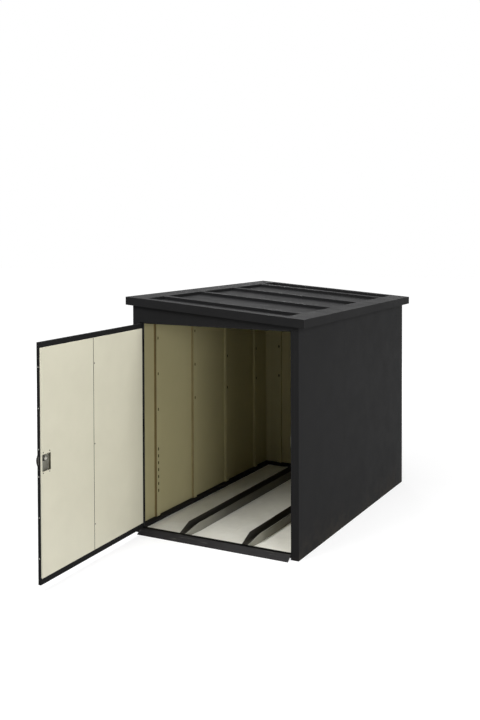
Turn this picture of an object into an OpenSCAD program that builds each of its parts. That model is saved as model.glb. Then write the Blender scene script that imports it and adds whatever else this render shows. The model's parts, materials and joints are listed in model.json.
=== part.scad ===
// Lockable steel bicycle shelter with a single side-hung door, a sloping tray roof
// and two wheel channels on the floor. Millimetres, +Z up, the door side faces -Y.
// The origin is the centre of the footprint, on the ground.

/* [Body] */
// Outside width of the walls, along X
body_w = 1245; // [1100:5:1500]
// Outside depth of the walls, along Y
body_d = 2046; // [1800:2:2400]
// Height of the door opening above the ground
opening_top = 1450; // [1300:5:1480]
// Thickness of the wall, roof and floor sheet
sheet = 1.5; // [1:0.1:2.5]
// Width of one wall panel between two seams
panel_pitch = 512; // [400:2:540]
// Width of the strip that covers a seam inside
strip_w = 42; // [30:1:70]
// How far that strip stands off the wall
strip_rise = 18; // [6:1:22]

/* [Door frame] */
// Width of a front post, seen from the front
post_w = 55; // [40:1:80]
// Depth of a front post and of the header
post_d = 36; // [35:1:60]
// How far the door stop reaches into the opening
stop_w = 12; // [8:1:20]

/* [Base] */
// Height of the base rails and of the threshold
rail_h = 34; // [25:1:45]
// Width of a base rail
rail_w = 41; // [30:1:60]
// How far the sloping front of the threshold reaches out
threshold_run = 47; // [30:1:80]
// Height of the floor's upper face
floor_top = 10; // [8:0.5:16]
// Depth of the front floor panel, up to the seam across the floor
floor_split = 1395; // [1200:5:1500]
// Radius of the holes for ground anchors
anchor_r = 6; // [4:0.5:8]
// Distance between the front and rear anchor holes
anchor_span = 1500; // [1200:10:1600]

/* [Roof] */
// Height of the roof's high edge, on the left
roof_high = 1623; // [1560:1:1760]
// Fall of the roof from the left edge to the right edge
roof_fall = 100; // [40:1:110]
// Overhang of the roof at the front
roof_front = 22; // [15:1:60]
// Overhang of the roof at the back
roof_back = 37; // [15:1:60]
// Overhang of the roof at each side
roof_side = 46; // [30:1:80]
// Height of the fascia
fascia_h = 55; // [40:1:70]
// Width of the flat border along the sides
border_side = 140; // [100:1:180]
// Width of the flat border at the front and the back
border_end = 66; // [50:1:90]
// Width of a cross rib
rib_w = 60; // [45:1:80]
// Distance from rib to rib
rib_pitch = 507; // [400:1:520]
// Number of cross ribs
rib_count = 4; // [2:1:4]
// Depth of the roof trays below the ribs
tray_depth = 20; // [12:1:25]
// Height of the bearers under the roof
bearer_h = 30; // [20:1:35]

/* [Door] */
// Angle that the door stands open, from closed
door_open = 87.25; // [60:0.25:100]
// Gap between the door leaf and the posts
door_gap = 3; // [2.6:0.1:5]
// Gap between the leaf and the header
head_gap = 7; // [4:0.5:12]
// Gap between the leaf and the threshold
foot_gap = 7; // [4:0.5:12]
// Depth of the door's outer tray
leaf_d = 18.5; // [18:0.5:24]
// How far the inner lining stands proud of the tray
lining_d = 12; // [8:0.5:16]
// Dark margin of the tray above the lining
lining_margin = 32; // [20:1:45]
// Dark margin of the tray below the lining
foot_margin = 42; // [20:1:60]
// Dark margin of the tray beside the hinges
hinge_margin = 25; // [20:1:45]
// Distance of the lining's seam from the hinge side
lining_seam = 604; // [450:2:700]

/* [Hinges] */
// Length of one hinge
hinge_len = 90; // [60:3:120]
// Radius of the hinge barrel
barrel_r = 5.2; // [4:0.1:5.4]
// Radius of the hinge pin
pin_r = 2.6; // [2:0.1:3]
// Height of the lowest hinge's middle
hinge_low = 200; // [120:5:300]
// Distance from hinge to hinge
hinge_step = 545; // [400:5:560]

/* [Lock] */
// Height of the handle's axis
lock_z = 765; // [600:5:900]
// Distance of the handle's axis from the leaf's free edge
backset = 52; // [45:1:70]
// Radius on which the cam's drive pins sit
cam_pin_ring = 16; // [14:0.5:20]
// Quarter turn of the handle
handle_turn = 90; // [60:5:90]
// Overall height of the handle's grip
grip_len = 76; // [60:1:96]
// How far the grip stands off the door
grip_off = 41; // [36:1:50]

/* [Wheel channels] */
// Distance of the left channel's middle from the left wall
channel_x = 367; // [300:1:420]
// Distance from channel to channel
channel_pitch = 475; // [350:1:560]
// Width of a channel at its foot
channel_w = 92; // [80:1:120]
// Height of a channel above the floor
channel_h = 57; // [40:1:70]
// Width of the groove for a tyre, at its mouth
groove_w = 72; // [60:1:80]
// Length of the rising nose at the front end
nose_len = 150; // [100:5:250]
// Distance of the splice between the two lengths from the front of the body
splice_y = 865; // [600:5:1200]
// Distance between the end of a channel and the back wall
channel_end = 90; // [60:5:300]

/* [Hidden] */
$fn = 48;

// Clearances: pieces that lie on each other, and the running fit of a pin
seat_gap = 0.3;
run_gap = 0.05;

// Colours
dark_steel = [0.16, 0.16, 0.17];
cream_steel = [0.80, 0.78, 0.71];
pale_floor = [0.74, 0.73, 0.68];
zinc = [0.55, 0.55, 0.52];
oiled_steel = [0.20, 0.19, 0.17];
black_rubber = [0.08, 0.08, 0.08];

// Roof plane
roof_x0 = -roof_side;
roof_x1 = body_w + roof_side;
roof_y0 = -roof_front;
roof_y1 = body_d + roof_back;
roof_slope = roof_fall / (roof_x1 - roof_x0);
function roof_z(x) = roof_high - roof_slope * (x - roof_x0);
tray_x0 = roof_x0 + border_side;
tray_x1 = roof_x1 - border_side;
tray_y0 = roof_y0 + border_end;
tray_y1 = roof_y1 - border_end;
rib_first = (roof_y0 + roof_y1) / 2 - (rib_count - 1) * rib_pitch / 2;
function rib_y(i) = rib_first + i * rib_pitch;
// Open stretch of a tray, between two ribs or a rib and the end border
function bay_y0(i) = i == 0 ? tray_y0 : rib_y(i - 1) + rib_w / 2;
function bay_y1(i) = i == rib_count ? tray_y1 : rib_y(i) - rib_w / 2;
// A tray reaches this far under the ribs and the border
tray_tuck = 12;
tray_under = tray_depth + sheet;
wall_top_drop = sheet + seat_gap;
// The doorway's head stays below the roof, with at least this much header at the low side
header_least = 10;
head_z = min(opening_top, roof_z(body_w) - wall_top_drop - header_least);
bearer_top_drop = tray_under + seat_gap;
bearer_w = 40;
bearer_t = 2;
fascia_lip = 15;

// Walls
side_panels = 3;
rear_panels = 2;
corner_side = (body_d - side_panels * panel_pitch) / 2;
corner_rear = (body_w - rear_panels * panel_pitch) / 2;
function side_seam(i) = corner_side + i * panel_pitch;
function rear_seam(i) = corner_rear + i * panel_pitch;
fold = 13;
panel_gap = 0.3;
wall_foot = 2;
strip_off = 1.2;
base_in = sheet + seat_gap;

// Door leaf, drawn closed
leaf_x0 = post_w + door_gap;
leaf_x1 = body_w - post_w - door_gap;
leaf_z0 = rail_h + foot_gap;
leaf_z1 = head_z - head_gap;
lining_y1 = leaf_d + seat_gap + lining_d;
lining_seat = 14;
flange_w = lining_margin + lining_seat;
lining_sheet = 1.2;
lining_gap = 4;
pivot_x = post_w + door_gap / 2;
pivot_y = -barrel_r - seat_gap;
module opened() {
    translate([pivot_x, pivot_y, 0]) rotate([0, 0, -door_open]) translate([-pivot_x, -pivot_y, 0]) children();
}

// Lock, in the closed door. The holes in the frame are larger than the rods by frame_play
frame_play = 1.5;
hole_play = 0.5;
lock_x = leaf_x1 - backset;
spindle_r = 4;
cam_t = 3;
cam_y = 8;
rod_t = 3;
rod_y = cam_y + cam_t + seat_gap;
cover_gap = 1.7;
cover_y = rod_y + rod_t + cover_gap;
cover_t = 1.5;
pin_end = 1;
drive_pin_r = 2.5;
slot_play = 0.8;
rod_w = 10;
yoke_in = spindle_r + 1;
yoke_w = 17;
yoke_up = 9;
yoke_down = 7;
rod_shift = 1.7;
rod_x = cam_pin_ring * cos(handle_turn / 2) + rod_shift;
bolt_h = 16;
bolt_y = 3.6;
bolt_t = 4;
bolt_low = 22;
bolt_tail = 8;
case_back = 25;
case_reach = 34;
case_up = 42;
case_down = 76;
case_gap = 4;
window_up = 28;
window_down = 12;
cut_w = 80;
cut_edge = 5;
cut_down = 68;
cut_up = 31;
hub_r = 11;
plug_r = 6;
plug_len = 20;

// Wheel channels
channel_y0 = post_d + 2;
channel_y1 = body_d - channel_end;
groove_floor = 7;
groove_foot_w = 52;
channel_wall = 2.5;
rim_r = 5;
flank_lean = 3;
cove = 8;
nose_w = 55;
nose_groove_w = 43;
nose_drop = 2;

module at_origin() {
    translate([-body_w / 2, -body_d / 2, 0]) children();
}

// A slab that follows the roof's slope, between two heights below the roof plane
module slope_slab(xa, xb, ya, yb, top, bottom) {
    translate([0, yb, 0]) rotate([90, 0, 0]) linear_extrude(yb - ya)
        polygon([[xa, roof_z(xa) - bottom], [xb, roof_z(xb) - bottom],
                 [xb, roof_z(xb) - top], [xa, roof_z(xa) - top]]);
}

// A box by its two corners
module block(a, b) {
    translate(a) cube(b - a);
}

// Base rail of C section along Y, its open side towards the wall's inside
module rail_section(len, holes) {
    difference() {
        block([0, 0, 0], [rail_w, len, rail_h]);
        block([sheet, -1, sheet], [rail_w - sheet, len + 1, rail_h - sheet]);
        for (y = holes)
            translate([rail_w / 2, y, -1]) cylinder(r = anchor_r, h = rail_h + 2);
    }
}

anchor_ys = [body_d / 2 - anchor_span / 2, body_d / 2 + anchor_span / 2];
rail_y0 = post_d + seat_gap;
module base_rail_left() {
    color(dark_steel) at_origin() translate([base_in, rail_y0, 0])
        rail_section(body_d - base_in - rail_y0, [for (y = anchor_ys) y - rail_y0]);
}
module base_rail_right() {
    color(dark_steel) at_origin() translate([body_w - base_in - rail_w, rail_y0, 0])
        rail_section(body_d - base_in - rail_y0, [for (y = anchor_ys) y - rail_y0]);
}
module base_rail_rear() {
    in_x = base_in + rail_w + seat_gap;
    color(dark_steel) at_origin() translate([in_x, body_d - base_in, 0]) rotate([0, 0, -90])
        rail_section(body_w - 2 * in_x, []);
}

// Upright hole round a lock rod
module rod_hole(x, play, z0, z1) {
    block([x - rod_w / 2 - play, rod_y - play, z0], [x + rod_w / 2 + play, rod_y + rod_t + play, z1]);
}
// Level hole round the side bolt
module bolt_hole(play, x0, x1) {
    block([x0, bolt_y - play, lock_z - bolt_low - play],
          [x1, bolt_y + bolt_t + play, lock_z - bolt_low + bolt_h + play]);
}

// Threshold: a folded ramp with a flat sill that the door closes over
ramp_edge = 2;
module threshold() {
    x0 = post_w + seat_gap;
    color(dark_steel) at_origin() difference() {
        translate([x0, 0, 0]) rotate([90, 0, 90]) linear_extrude(body_w - 2 * x0)
            polygon([[-threshold_run, 0], [-threshold_run + 2 * sheet, 0], [sheet / 2, rail_h - sheet],
                     [post_d - 2 * sheet, rail_h - sheet], [post_d - 2 * sheet, 0], [post_d - sheet, 0],
                     [post_d - sheet, rail_h], [0, rail_h], [-threshold_run, ramp_edge]]);
        rod_hole(lock_x - rod_x, frame_play, rail_h - 2 * sheet, rail_h + 1);
    }
}

// Floor panel: a shallow tray turned down at its edges, with flat stiffeners below
stiff_w = 60;
module floor_panel(y0, y1, stiff) {
    x0 = base_in + rail_w + seat_gap;
    x1 = body_w - x0;
    color(pale_floor) at_origin() {
        difference() {
            block([x0, y0, 0], [x1, y1, floor_top]);
            block([x0 + sheet, y0 + sheet, -1], [x1 - sheet, y1 - sheet, floor_top - sheet]);
        }
        for (y = stiff)
            difference() {
                block([x0 + sheet, y - stiff_w / 2, 0], [x1 - sheet, y + stiff_w / 2, floor_top - sheet]);
                block([x0, y - stiff_w / 2 + sheet, sheet], [x1, y + stiff_w / 2 - sheet, floor_top]);
            }
    }
}
floor_y0 = post_d + seat_gap;
module floor_panel_front() {
    floor_panel(floor_y0, floor_y0 + floor_split, [floor_y0 + floor_split / 4, body_d / 2]);
}
module floor_panel_rear() {
    y0 = floor_y0 + floor_split + panel_gap;
    y1 = body_d - base_in - rail_w - seat_gap;
    floor_panel(y0, y1, [(y0 + y1) / 2]);
}

// Front post: a folded section with its face, its reveal and the door stop
module post_profile() {
    polygon([[base_in, 0], [post_w, 0], [post_w, post_d - sheet], [post_w + stop_w, post_d - sheet],
             [post_w + stop_w, post_d], [post_w - sheet, post_d], [post_w - sheet, sheet],
             [base_in + sheet, sheet], [base_in + sheet, post_d], [base_in, post_d]]);
}
module front_post_left() {
    color(dark_steel) at_origin() linear_extrude(head_z - seat_gap) post_profile();
}
module front_post_right() {
    color(dark_steel) at_origin() difference() {
        translate([body_w, 0, 0]) mirror([1, 0, 0]) linear_extrude(head_z - seat_gap) post_profile();
        bolt_hole(frame_play, body_w - post_w - 1, body_w - post_w + sheet + 1);
    }
}

stop_gap = 1;
// Header: tapered face under the sloping roof, its soffit and the upper door stop
module header() {
    top_l = roof_z(base_in) - wall_top_drop;
    top_r = roof_z(body_w - base_in) - wall_top_drop;
    color(dark_steel) at_origin() difference() {
        union() {
            translate([0, sheet, 0]) rotate([90, 0, 0]) linear_extrude(sheet)
                polygon([[base_in, head_z], [body_w - base_in, head_z],
                         [body_w - base_in, top_r], [base_in, top_l]]);
            block([base_in, 0, head_z], [body_w - base_in, post_d, head_z + sheet]);
            block([post_w + stop_w + stop_gap, post_d - sheet, head_z - stop_w],
                  [body_w - post_w - stop_w - stop_gap, post_d, head_z + sheet]);
        }
        rod_hole(lock_x + rod_x, frame_play, head_z - 1, head_z + sheet + 1);
    }
}

// Rubber seal on the door stops
seal_y0 = lining_y1 + hole_play;
seal_y1 = post_d - sheet;
seal_w = 7;
seal_inset = 4;
seal_end = 2;
module door_seal() {
    z0 = rail_h + seal_end;
    z1 = head_z - stop_w;
    x0 = post_w + seal_inset;
    head_x = post_w + stop_w + stop_gap;
    color(black_rubber) at_origin() {
        block([x0, seal_y0, z0], [x0 + seal_w, seal_y1, z1 - 1]);
        block([body_w - x0 - seal_w, seal_y0, z0], [body_w - x0, seal_y1, z1 - 1]);
        block([head_x, seal_y0, z1 + seal_end], [body_w - head_x, seal_y1, z1 + seal_end + seal_w]);
    }
}

// Wall panel in the XZ plane along +X from 0 to w: a flat sheet folded in at its edges,
// with its top edge falling from za to zb and its folds ending at fold_top
module wall_panel(w, za, zb, fold_top) {
    g = panel_gap / 2;
    translate([0, sheet, 0]) rotate([90, 0, 0]) linear_extrude(sheet)
        polygon([[g, wall_foot], [w - g, wall_foot], [w - g, zb], [g, za]]);
    for (x = [g, w - g - sheet])
        block([x, 0, rail_h + seat_gap], [x + sheet, fold, fold_top]);
}

// Side walls run along Y; this turns a panel so that its inside faces +X
module on_left_wall(y) {
    translate([0, y, 0]) mirror([1, 0, 0]) rotate([0, 0, 90]) children();
}
module on_right_wall(y) {
    translate([body_w, y, 0]) rotate([0, 0, 90]) children();
}
left_top = roof_z(sheet) - wall_top_drop;
right_top = roof_z(body_w) - wall_top_drop;
module left_panel(i) {
    color(dark_steel) at_origin() on_left_wall(side_seam(i))
        wall_panel(panel_pitch, left_top, left_top, left_strip_top);
}
module right_panel(i) {
    color(dark_steel) at_origin() on_right_wall(side_seam(i))
        wall_panel(panel_pitch, right_top, right_top, right_strip_top);
}
module left_wall_panel_1() { left_panel(0); }
module left_wall_panel_2() { left_panel(1); }
module left_wall_panel_3() { left_panel(2); }
module right_wall_panel_1() { right_panel(0); }
module right_wall_panel_2() { right_panel(1); }
module right_wall_panel_3() { right_panel(2); }
module front_corner_panel_left() {
    color(dark_steel) at_origin() on_left_wall(0) corner_flat(corner_side, left_top, left_strip_top);
}
module front_corner_panel_right() {
    color(dark_steel) at_origin() on_right_wall(0) corner_flat(corner_side, right_top, right_strip_top);
}
// The front corner panel has a fold only at its rear edge
module corner_flat(w, z, fold_top) {
    g = panel_gap / 2;
    block([0, 0, wall_foot], [w - g, sheet, z]);
    block([w - g - sheet, 0, rail_h + seat_gap], [w - g, fold, fold_top]);
}

// Rear corner: one sheet bent round the corner
module rear_corner(zs, z_in, fold_top) {
    g = panel_gap / 2;
    y0 = body_d - corner_side + g;
    color(dark_steel) {
        block([0, y0, wall_foot], [sheet, body_d, zs]);
        block([0, y0, rail_h + seat_gap], [fold, y0 + sheet, fold_top]);
        translate([0, body_d, 0]) rotate([90, 0, 0]) linear_extrude(sheet)
            polygon([[0, wall_foot], [corner_rear - g, wall_foot], [corner_rear - g, z_in], [0, zs]]);
        block([corner_rear - g - sheet, body_d - fold, rail_h + seat_gap],
              [corner_rear - g, body_d, min(zs, z_in) - 2 * fold]);
    }
}
module rear_corner_left() {
    at_origin() rear_corner(roof_z(sheet) - wall_top_drop, roof_z(corner_rear) - wall_top_drop,
                            left_strip_top);
}
module rear_corner_right() {
    at_origin() translate([body_w, 0, 0]) mirror([1, 0, 0])
        rear_corner(roof_z(body_w) - wall_top_drop, roof_z(body_w - corner_rear) - wall_top_drop,
                    right_strip_top);
}
module rear_panel(i) {
    za = roof_z(rear_seam(i)) - wall_top_drop;
    zb = roof_z(rear_seam(i + 1)) - wall_top_drop;
    color(dark_steel) at_origin() translate([rear_seam(i), body_d, 0]) mirror([0, 1, 0])
        wall_panel(panel_pitch, za, zb, min(za, zb) - 2 * fold);
}
module rear_wall_panel_1() { rear_panel(0); }
module rear_wall_panel_2() { rear_panel(1); }

// Joint strip: a shallow channel that stands over a seam, upright
module joint_strip(top) {
    linear_extrude(top - rail_h - seat_gap)
        polygon([[strip_off, sheet], [strip_off, strip_rise + sheet], [strip_w, strip_rise + sheet],
                 [strip_w, sheet], [strip_w - sheet, sheet], [strip_w - sheet, strip_rise],
                 [strip_off + sheet, strip_rise], [strip_off + sheet, sheet]]);
}
strip_z = rail_h + seat_gap;
left_strip_top = roof_z(strip_rise + 2 * sheet) - bearer_top_drop - bearer_h - seat_gap;
right_strip_top = roof_z(body_w) - bearer_top_drop - bearer_h - seat_gap;
strip_x = panel_gap / 2 + sheet;
module left_joint_strips() {
    color(cream_steel) at_origin() for (i = [0:side_panels])
        translate([0, 0, strip_z]) on_left_wall(side_seam(i) + strip_x) joint_strip(left_strip_top);
}
module right_joint_strips() {
    color(cream_steel) at_origin() for (i = [0:side_panels])
        translate([0, 0, strip_z]) on_right_wall(side_seam(i) + strip_x) joint_strip(right_strip_top);
}
// On the rear wall the last strip is turned round, so that it stays clear of the right corner
module rear_joint_strips() {
    color(cream_steel) at_origin() for (i = [0:rear_panels]) {
        turned = i == rear_panels ? 1 : 0;
        translate([rear_seam(i) + (1 - 2 * turned) * strip_x, body_d, strip_z])
            mirror([turned, 0, 0]) mirror([0, 1, 0])
                joint_strip(roof_z(rear_seam(i) + strip_w + fold) - 2 * fold - wall_top_drop);
    }
}

// Roof bearers of C section, one under each rib, from side wall to side wall
module roof_bearers() {
    xa = sheet + seat_gap;
    xb = body_w - sheet - seat_gap;
    d = bearer_top_drop;
    color(zinc) at_origin() for (i = [0:rib_count - 1]) {
        y0 = rib_y(i) - bearer_w / 2;
        y1 = rib_y(i) + bearer_w / 2;
        slope_slab(xa, xb, y0, y1, d, d + bearer_t);
        slope_slab(xa, xb, y0, y0 + bearer_t, d, d + bearer_h);
        slope_slab(xa, xb, y0, y1, d + bearer_h - bearer_t, d + bearer_h);
    }
}

// Roof tray: flat bottom with upstands that end under the ribs and the border
module roof_tray(i) {
    ya = bay_y0(i) - tray_tuck;
    yb = bay_y1(i) + tray_tuck;
    xa = tray_x0 - tray_tuck;
    xb = tray_x1 + tray_tuck;
    up = wall_top_drop;
    color(dark_steel) at_origin() {
        slope_slab(xa, xb, ya, yb, tray_depth, tray_under);
        slope_slab(xa, xb, ya, ya + sheet, up, tray_under);
        slope_slab(xa, xb, yb - sheet, yb, up, tray_under);
        slope_slab(xa, xa + sheet, ya, yb, up, tray_under);
        slope_slab(xb - sheet, xb, ya, yb, up, tray_under);
    }
}
module roof_tray_1() { roof_tray(0); }
module roof_tray_2() { roof_tray(1); }
module roof_tray_3() { roof_tray(2); }
module roof_tray_4() { roof_tray(3); }
module roof_tray_5() { roof_tray(4); }

// Cross ribs: caps that close the joint between two trays
module roof_ribs() {
    foot = tray_depth - seat_gap;
    xa = tray_x0 + seat_gap;
    xb = tray_x1 - seat_gap;
    color(dark_steel) at_origin() for (i = [0:rib_count - 1]) {
        y0 = rib_y(i) - rib_w / 2;
        y1 = rib_y(i) + rib_w / 2;
        slope_slab(xa, xb, y0, y1, 0, sheet);
        slope_slab(xa, xb, y0, y0 + sheet, 0, foot);
        slope_slab(xa, xb, y1 - sheet, y1, 0, foot);
    }
}

// Side border: fascia, flat strip, lip below and a fold that stands in each tray
module side_border(xo, xi, s) {
    y0 = roof_y0 + sheet + seat_gap;
    y1 = roof_y1 - sheet - seat_gap;
    foot = tray_depth - seat_gap;
    color(dark_steel) at_origin() {
        slope_slab(min(xo, xi), max(xo, xi), y0, y1, 0, sheet);
        slope_slab(min(xo, xo + s * sheet), max(xo, xo + s * sheet), y0, y1, 0, fascia_h);
        slope_slab(min(xo, xo + s * fascia_lip), max(xo, xo + s * fascia_lip), y0, y1,
                   fascia_h - sheet, fascia_h);
        for (i = [0:rib_count])
            slope_slab(min(xi, xi - s * sheet), max(xi, xi - s * sheet), bay_y0(i), bay_y1(i), 0, foot);
    }
}
module roof_border_left() { side_border(roof_x0, tray_x0, 1); }
module roof_border_right() { side_border(roof_x1, tray_x1, -1); }

// End border: fascia over the whole width, flat strip between the side borders
module end_border(yo, yi, s) {
    foot = tray_depth - seat_gap;
    xa = tray_x0 + seat_gap;
    xb = tray_x1 - seat_gap;
    color(dark_steel) at_origin() {
        slope_slab(xa, xb, min(yo, yi), max(yo, yi), 0, sheet);
        slope_slab(roof_x0, roof_x1, min(yo, yo + s * sheet), max(yo, yo + s * sheet), 0, fascia_h);
        slope_slab(xa, xb, min(yi, yi - s * sheet), max(yi, yi - s * sheet), 0, foot);
    }
}
module roof_border_front() { end_border(roof_y0, tray_y0, 1); }
module roof_border_rear() { end_border(roof_y1, tray_y1, -1); }

// Wheel channel section: rounded rims, leaning flanks and a groove for the tyre
module channel_outer(w, h) {
    mouth = w / 2 - flank_lean - rim_r;
    polygon([[-w / 2, 0], [w / 2, 0], [w / 2 - flank_lean, h - rim_r], [mouth, h],
             [-mouth, h], [-w / 2 + flank_lean, h - rim_r]]);
    for (s = [-1, 1]) translate([s * mouth, h - rim_r]) circle(r = rim_r);
}
module channel_groove(w, foot_w, h, floor_z) {
    f = foot_w / 2;
    polygon([[-f + cove, floor_z], [f - cove, floor_z], [f, floor_z + cove],
             [w / 2, h + 1], [-w / 2, h + 1], [-f, floor_z + cove]]);
}
// Space under each flank of the folded section
module channel_cavity() {
    top = channel_h - rim_r - channel_wall;
    out = channel_w / 2 - channel_wall;
    in = groove_foot_w / 2 + channel_wall;
    for (s = [-1, 1])
        polygon([[s * out, -1], [s * (out - flank_lean), top], [s * (groove_w / 2 + channel_wall - 1), top],
                 [s * (in + 1), groove_floor + cove], [s * (in - cove / 4), -1]]);
}
module channel_profile() {
    difference() {
        channel_outer(channel_w, channel_h);
        channel_groove(groove_w, groove_foot_w, channel_h, groove_floor);
        channel_cavity();
    }
}
module channel_run(x, y0, y1) {
    translate([x, y1, floor_top]) rotate([90, 0, 0]) linear_extrude(y1 - y0) channel_profile();
}
// Nose: the section shrinks to a narrow tongue at the threshold
module channel_nose(x) {
    y0 = channel_y0;
    y1 = channel_y0 + nose_len;
    low = rail_h - floor_top;
    slice = 0.5;
    translate([x, 0, floor_top]) difference() {
        hull() {
            translate([0, y1, 0]) rotate([90, 0, 0]) linear_extrude(slice)
                channel_outer(channel_w, channel_h);
            translate([0, y0 + slice, 0]) rotate([90, 0, 0]) linear_extrude(slice)
                channel_outer(nose_w, low - nose_drop);
        }
        hull() {
            translate([0, y1 + 1, 0]) rotate([90, 0, 0]) linear_extrude(slice)
                channel_groove(groove_w, groove_foot_w, channel_h, groove_floor);
            translate([0, y0, 0]) rotate([90, 0, 0]) linear_extrude(slice)
                channel_groove(nose_groove_w, nose_groove_w - cove, low, low - cove);
        }
    }
}
module channel_front(x) {
    color(dark_steel) at_origin() {
        channel_nose(x);
        channel_run(x, channel_y0 + nose_len, splice_y);
    }
}
module channel_rear(x) {
    color(dark_steel) at_origin() channel_run(x, splice_y + panel_gap, channel_y1);
}
module wheel_channel_left_front() { channel_front(channel_x); }
module wheel_channel_left_rear() { channel_rear(channel_x); }
module wheel_channel_right_front() { channel_front(channel_x + channel_pitch); }
module wheel_channel_right_rear() { channel_rear(channel_x + channel_pitch); }

// Hinges: the outer knuckles sit on the post and the middle one on the door
hinge_count = 3;
plate_inset = 1;
pin_head_r = pin_r + 1.2;
pin_head_h = 2.5;
knuckle = hinge_len / 3;
function hinge_z(i) = hinge_low + i * hinge_step;
leaf_t = 1.2;
leaf_reach = 28;
module knuckle_ring(z0, z1) {
    translate([pivot_x, pivot_y, z0]) difference() {
        cylinder(r = barrel_r, h = z1 - z0);
        translate([0, 0, -1]) cylinder(r = pin_r + run_gap, h = z1 - z0 + 2);
    }
}
module hinge_plate(x0, y0, z0, z1) {
    block([x0, y0, z0], [x0 + leaf_t, leaf_reach, z1]);
}
module frame_hinge_leaves() {
    px = post_w;
    color(zinc) at_origin() for (i = [0:hinge_count - 1]) {
        z = hinge_z(i);
        hinge_plate(px, plate_inset, z - hinge_len / 2, z + hinge_len / 2);
        for (s = [-1, 1]) {
            zm = z + s * knuckle;
            za = zm - knuckle / 2 + (s > 0 ? seat_gap : 0);
            zb = zm + knuckle / 2 - (s < 0 ? seat_gap : 0);
            knuckle_ring(za, zb);
            difference() {
                hinge_plate(px, pivot_y, za, zb);
                translate([pivot_x, pivot_y, za - 1]) cylinder(r = barrel_r - 1, h = zb - za + 2);
            }
        }
    }
}
module hinge_pins() {
    color(zinc) at_origin() for (i = [0:hinge_count - 1])
        translate([pivot_x, pivot_y, hinge_z(i) - hinge_len / 2 - 1]) {
            cylinder(r = pin_r, h = hinge_len + 2);
            translate([0, 0, hinge_len + 1 + seat_gap]) cylinder(r = pin_head_r, h = pin_head_h);
        }
}
module door_hinge_leaves() {
    px = leaf_x0 - leaf_t - run_gap;
    color(zinc) at_origin() opened() for (i = [0:hinge_count - 1]) {
        z = hinge_z(i);
        za = z - knuckle / 2 + seat_gap;
        zb = z + knuckle / 2 - seat_gap;
        hinge_plate(px, plate_inset, z - hinge_len / 2, z + hinge_len / 2);
        knuckle_ring(za, zb);
        difference() {
            hinge_plate(px, pivot_y, za, zb);
            translate([pivot_x, pivot_y, za - 1]) cylinder(r = barrel_r - 1, h = zb - za + 2);
        }
    }
}

// Strike plate on the right post's reveal
strike_h = 70;
module strike_plate() {
    zc = lock_z - bolt_low + bolt_h / 2;
    color(zinc) at_origin() difference() {
        block([body_w - post_w - leaf_t, plate_inset, zc - strike_h / 2],
              [body_w - post_w, leaf_reach, zc + strike_h / 2]);
        bolt_hole(frame_play, body_w - post_w - leaf_t - 1, body_w - post_w + 1);
    }
}

// Door skin: outer sheet, four folded edges and the flange that carries the lining
module door_skin() {
    color(dark_steel) at_origin() opened() difference() {
        block([leaf_x0, 0, leaf_z0], [leaf_x1, leaf_d, leaf_z1]);
        block([leaf_x0 + sheet, sheet, leaf_z0 + sheet], [leaf_x1 - sheet, leaf_d - sheet, leaf_z1 - sheet]);
        block([leaf_x0 + flange_w, sheet, leaf_z0 + foot_margin + lining_seat],
              [leaf_x1 - flange_w - backset, leaf_d + 1, leaf_z1 - flange_w]);
        block([leaf_x1 - flange_w - backset - 1, leaf_d - 2 * sheet, lock_z - case_down - case_gap],
              [leaf_x1 - 2 * sheet, leaf_d + 1, lock_z + case_up + case_gap]);
        // Holes for the rods, the bolt and the handle's hub
        rod_hole(lock_x + rod_x, hole_play, leaf_z1 - 2 * sheet, leaf_z1 + 1);
        rod_hole(lock_x - rod_x, hole_play, leaf_z0 - 1, leaf_z0 + 2 * sheet);
        bolt_hole(hole_play, leaf_x1 - 2 * sheet, leaf_x1 + 1);
        translate([lock_x, -1, lock_z]) rotate([-90, 0, 0]) cylinder(r = hub_r + hole_play, h = sheet + 2);
    }
}

// Inner lining: two shallow pans side by side
module lining_pan(xa, xb) {
    z0 = leaf_z0 + foot_margin;
    z1 = leaf_z1 - lining_margin;
    y0 = leaf_d + seat_gap;
    difference() {
        block([xa, y0, z0], [xb, lining_y1, z1]);
        block([xa + lining_sheet, y0 - 1, z0 + lining_sheet],
              [xb - lining_sheet, lining_y1 - lining_sheet, z1 - lining_sheet]);
    }
}
module door_lining_hinge_side() {
    color(cream_steel) at_origin() opened()
        lining_pan(leaf_x0 + hinge_margin, leaf_x0 + lining_seam - lining_gap / 2);
}
module door_lining_lock_side() {
    color(cream_steel) at_origin() opened() difference() {
        lining_pan(leaf_x0 + lining_seam + lining_gap / 2, leaf_x1);
        block([leaf_x1 - cut_edge - cut_w, lining_y1 - 2 * lining_sheet, lock_z - cut_down],
              [leaf_x1 - cut_edge, lining_y1 + 1, lock_z + cut_up]);
    }
}

// Lock case: a folded cover over the cam, open at the ends where the rods leave
module lock_case() {
    x0 = lock_x - case_back;
    x1 = lock_x + case_reach;
    z0 = lock_z - case_down;
    z1 = lock_z + case_up;
    color(zinc) at_origin() opened() difference() {
        block([x0, sheet, z0], [x1, cover_y + cover_t, z1]);
        block([x0 + sheet, 0, z0 - 1], [x1 - sheet, cover_y, z1 + 1]);
        translate([lock_x, cover_y - 1, lock_z]) rotate([-90, 0, 0])
            cylinder(r = spindle_r + run_gap, h = cover_t + 2);
        // Window beside the spindle, and the way out for the bolt
        block([lock_x + 2 * spindle_r, cover_y - 1, lock_z - window_down],
              [x1 - 2 * sheet, cover_y + cover_t + 1, lock_z + window_up]);
        bolt_hole(hole_play, x1 - 2 * sheet, x1 + 1);
    }
}

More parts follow.
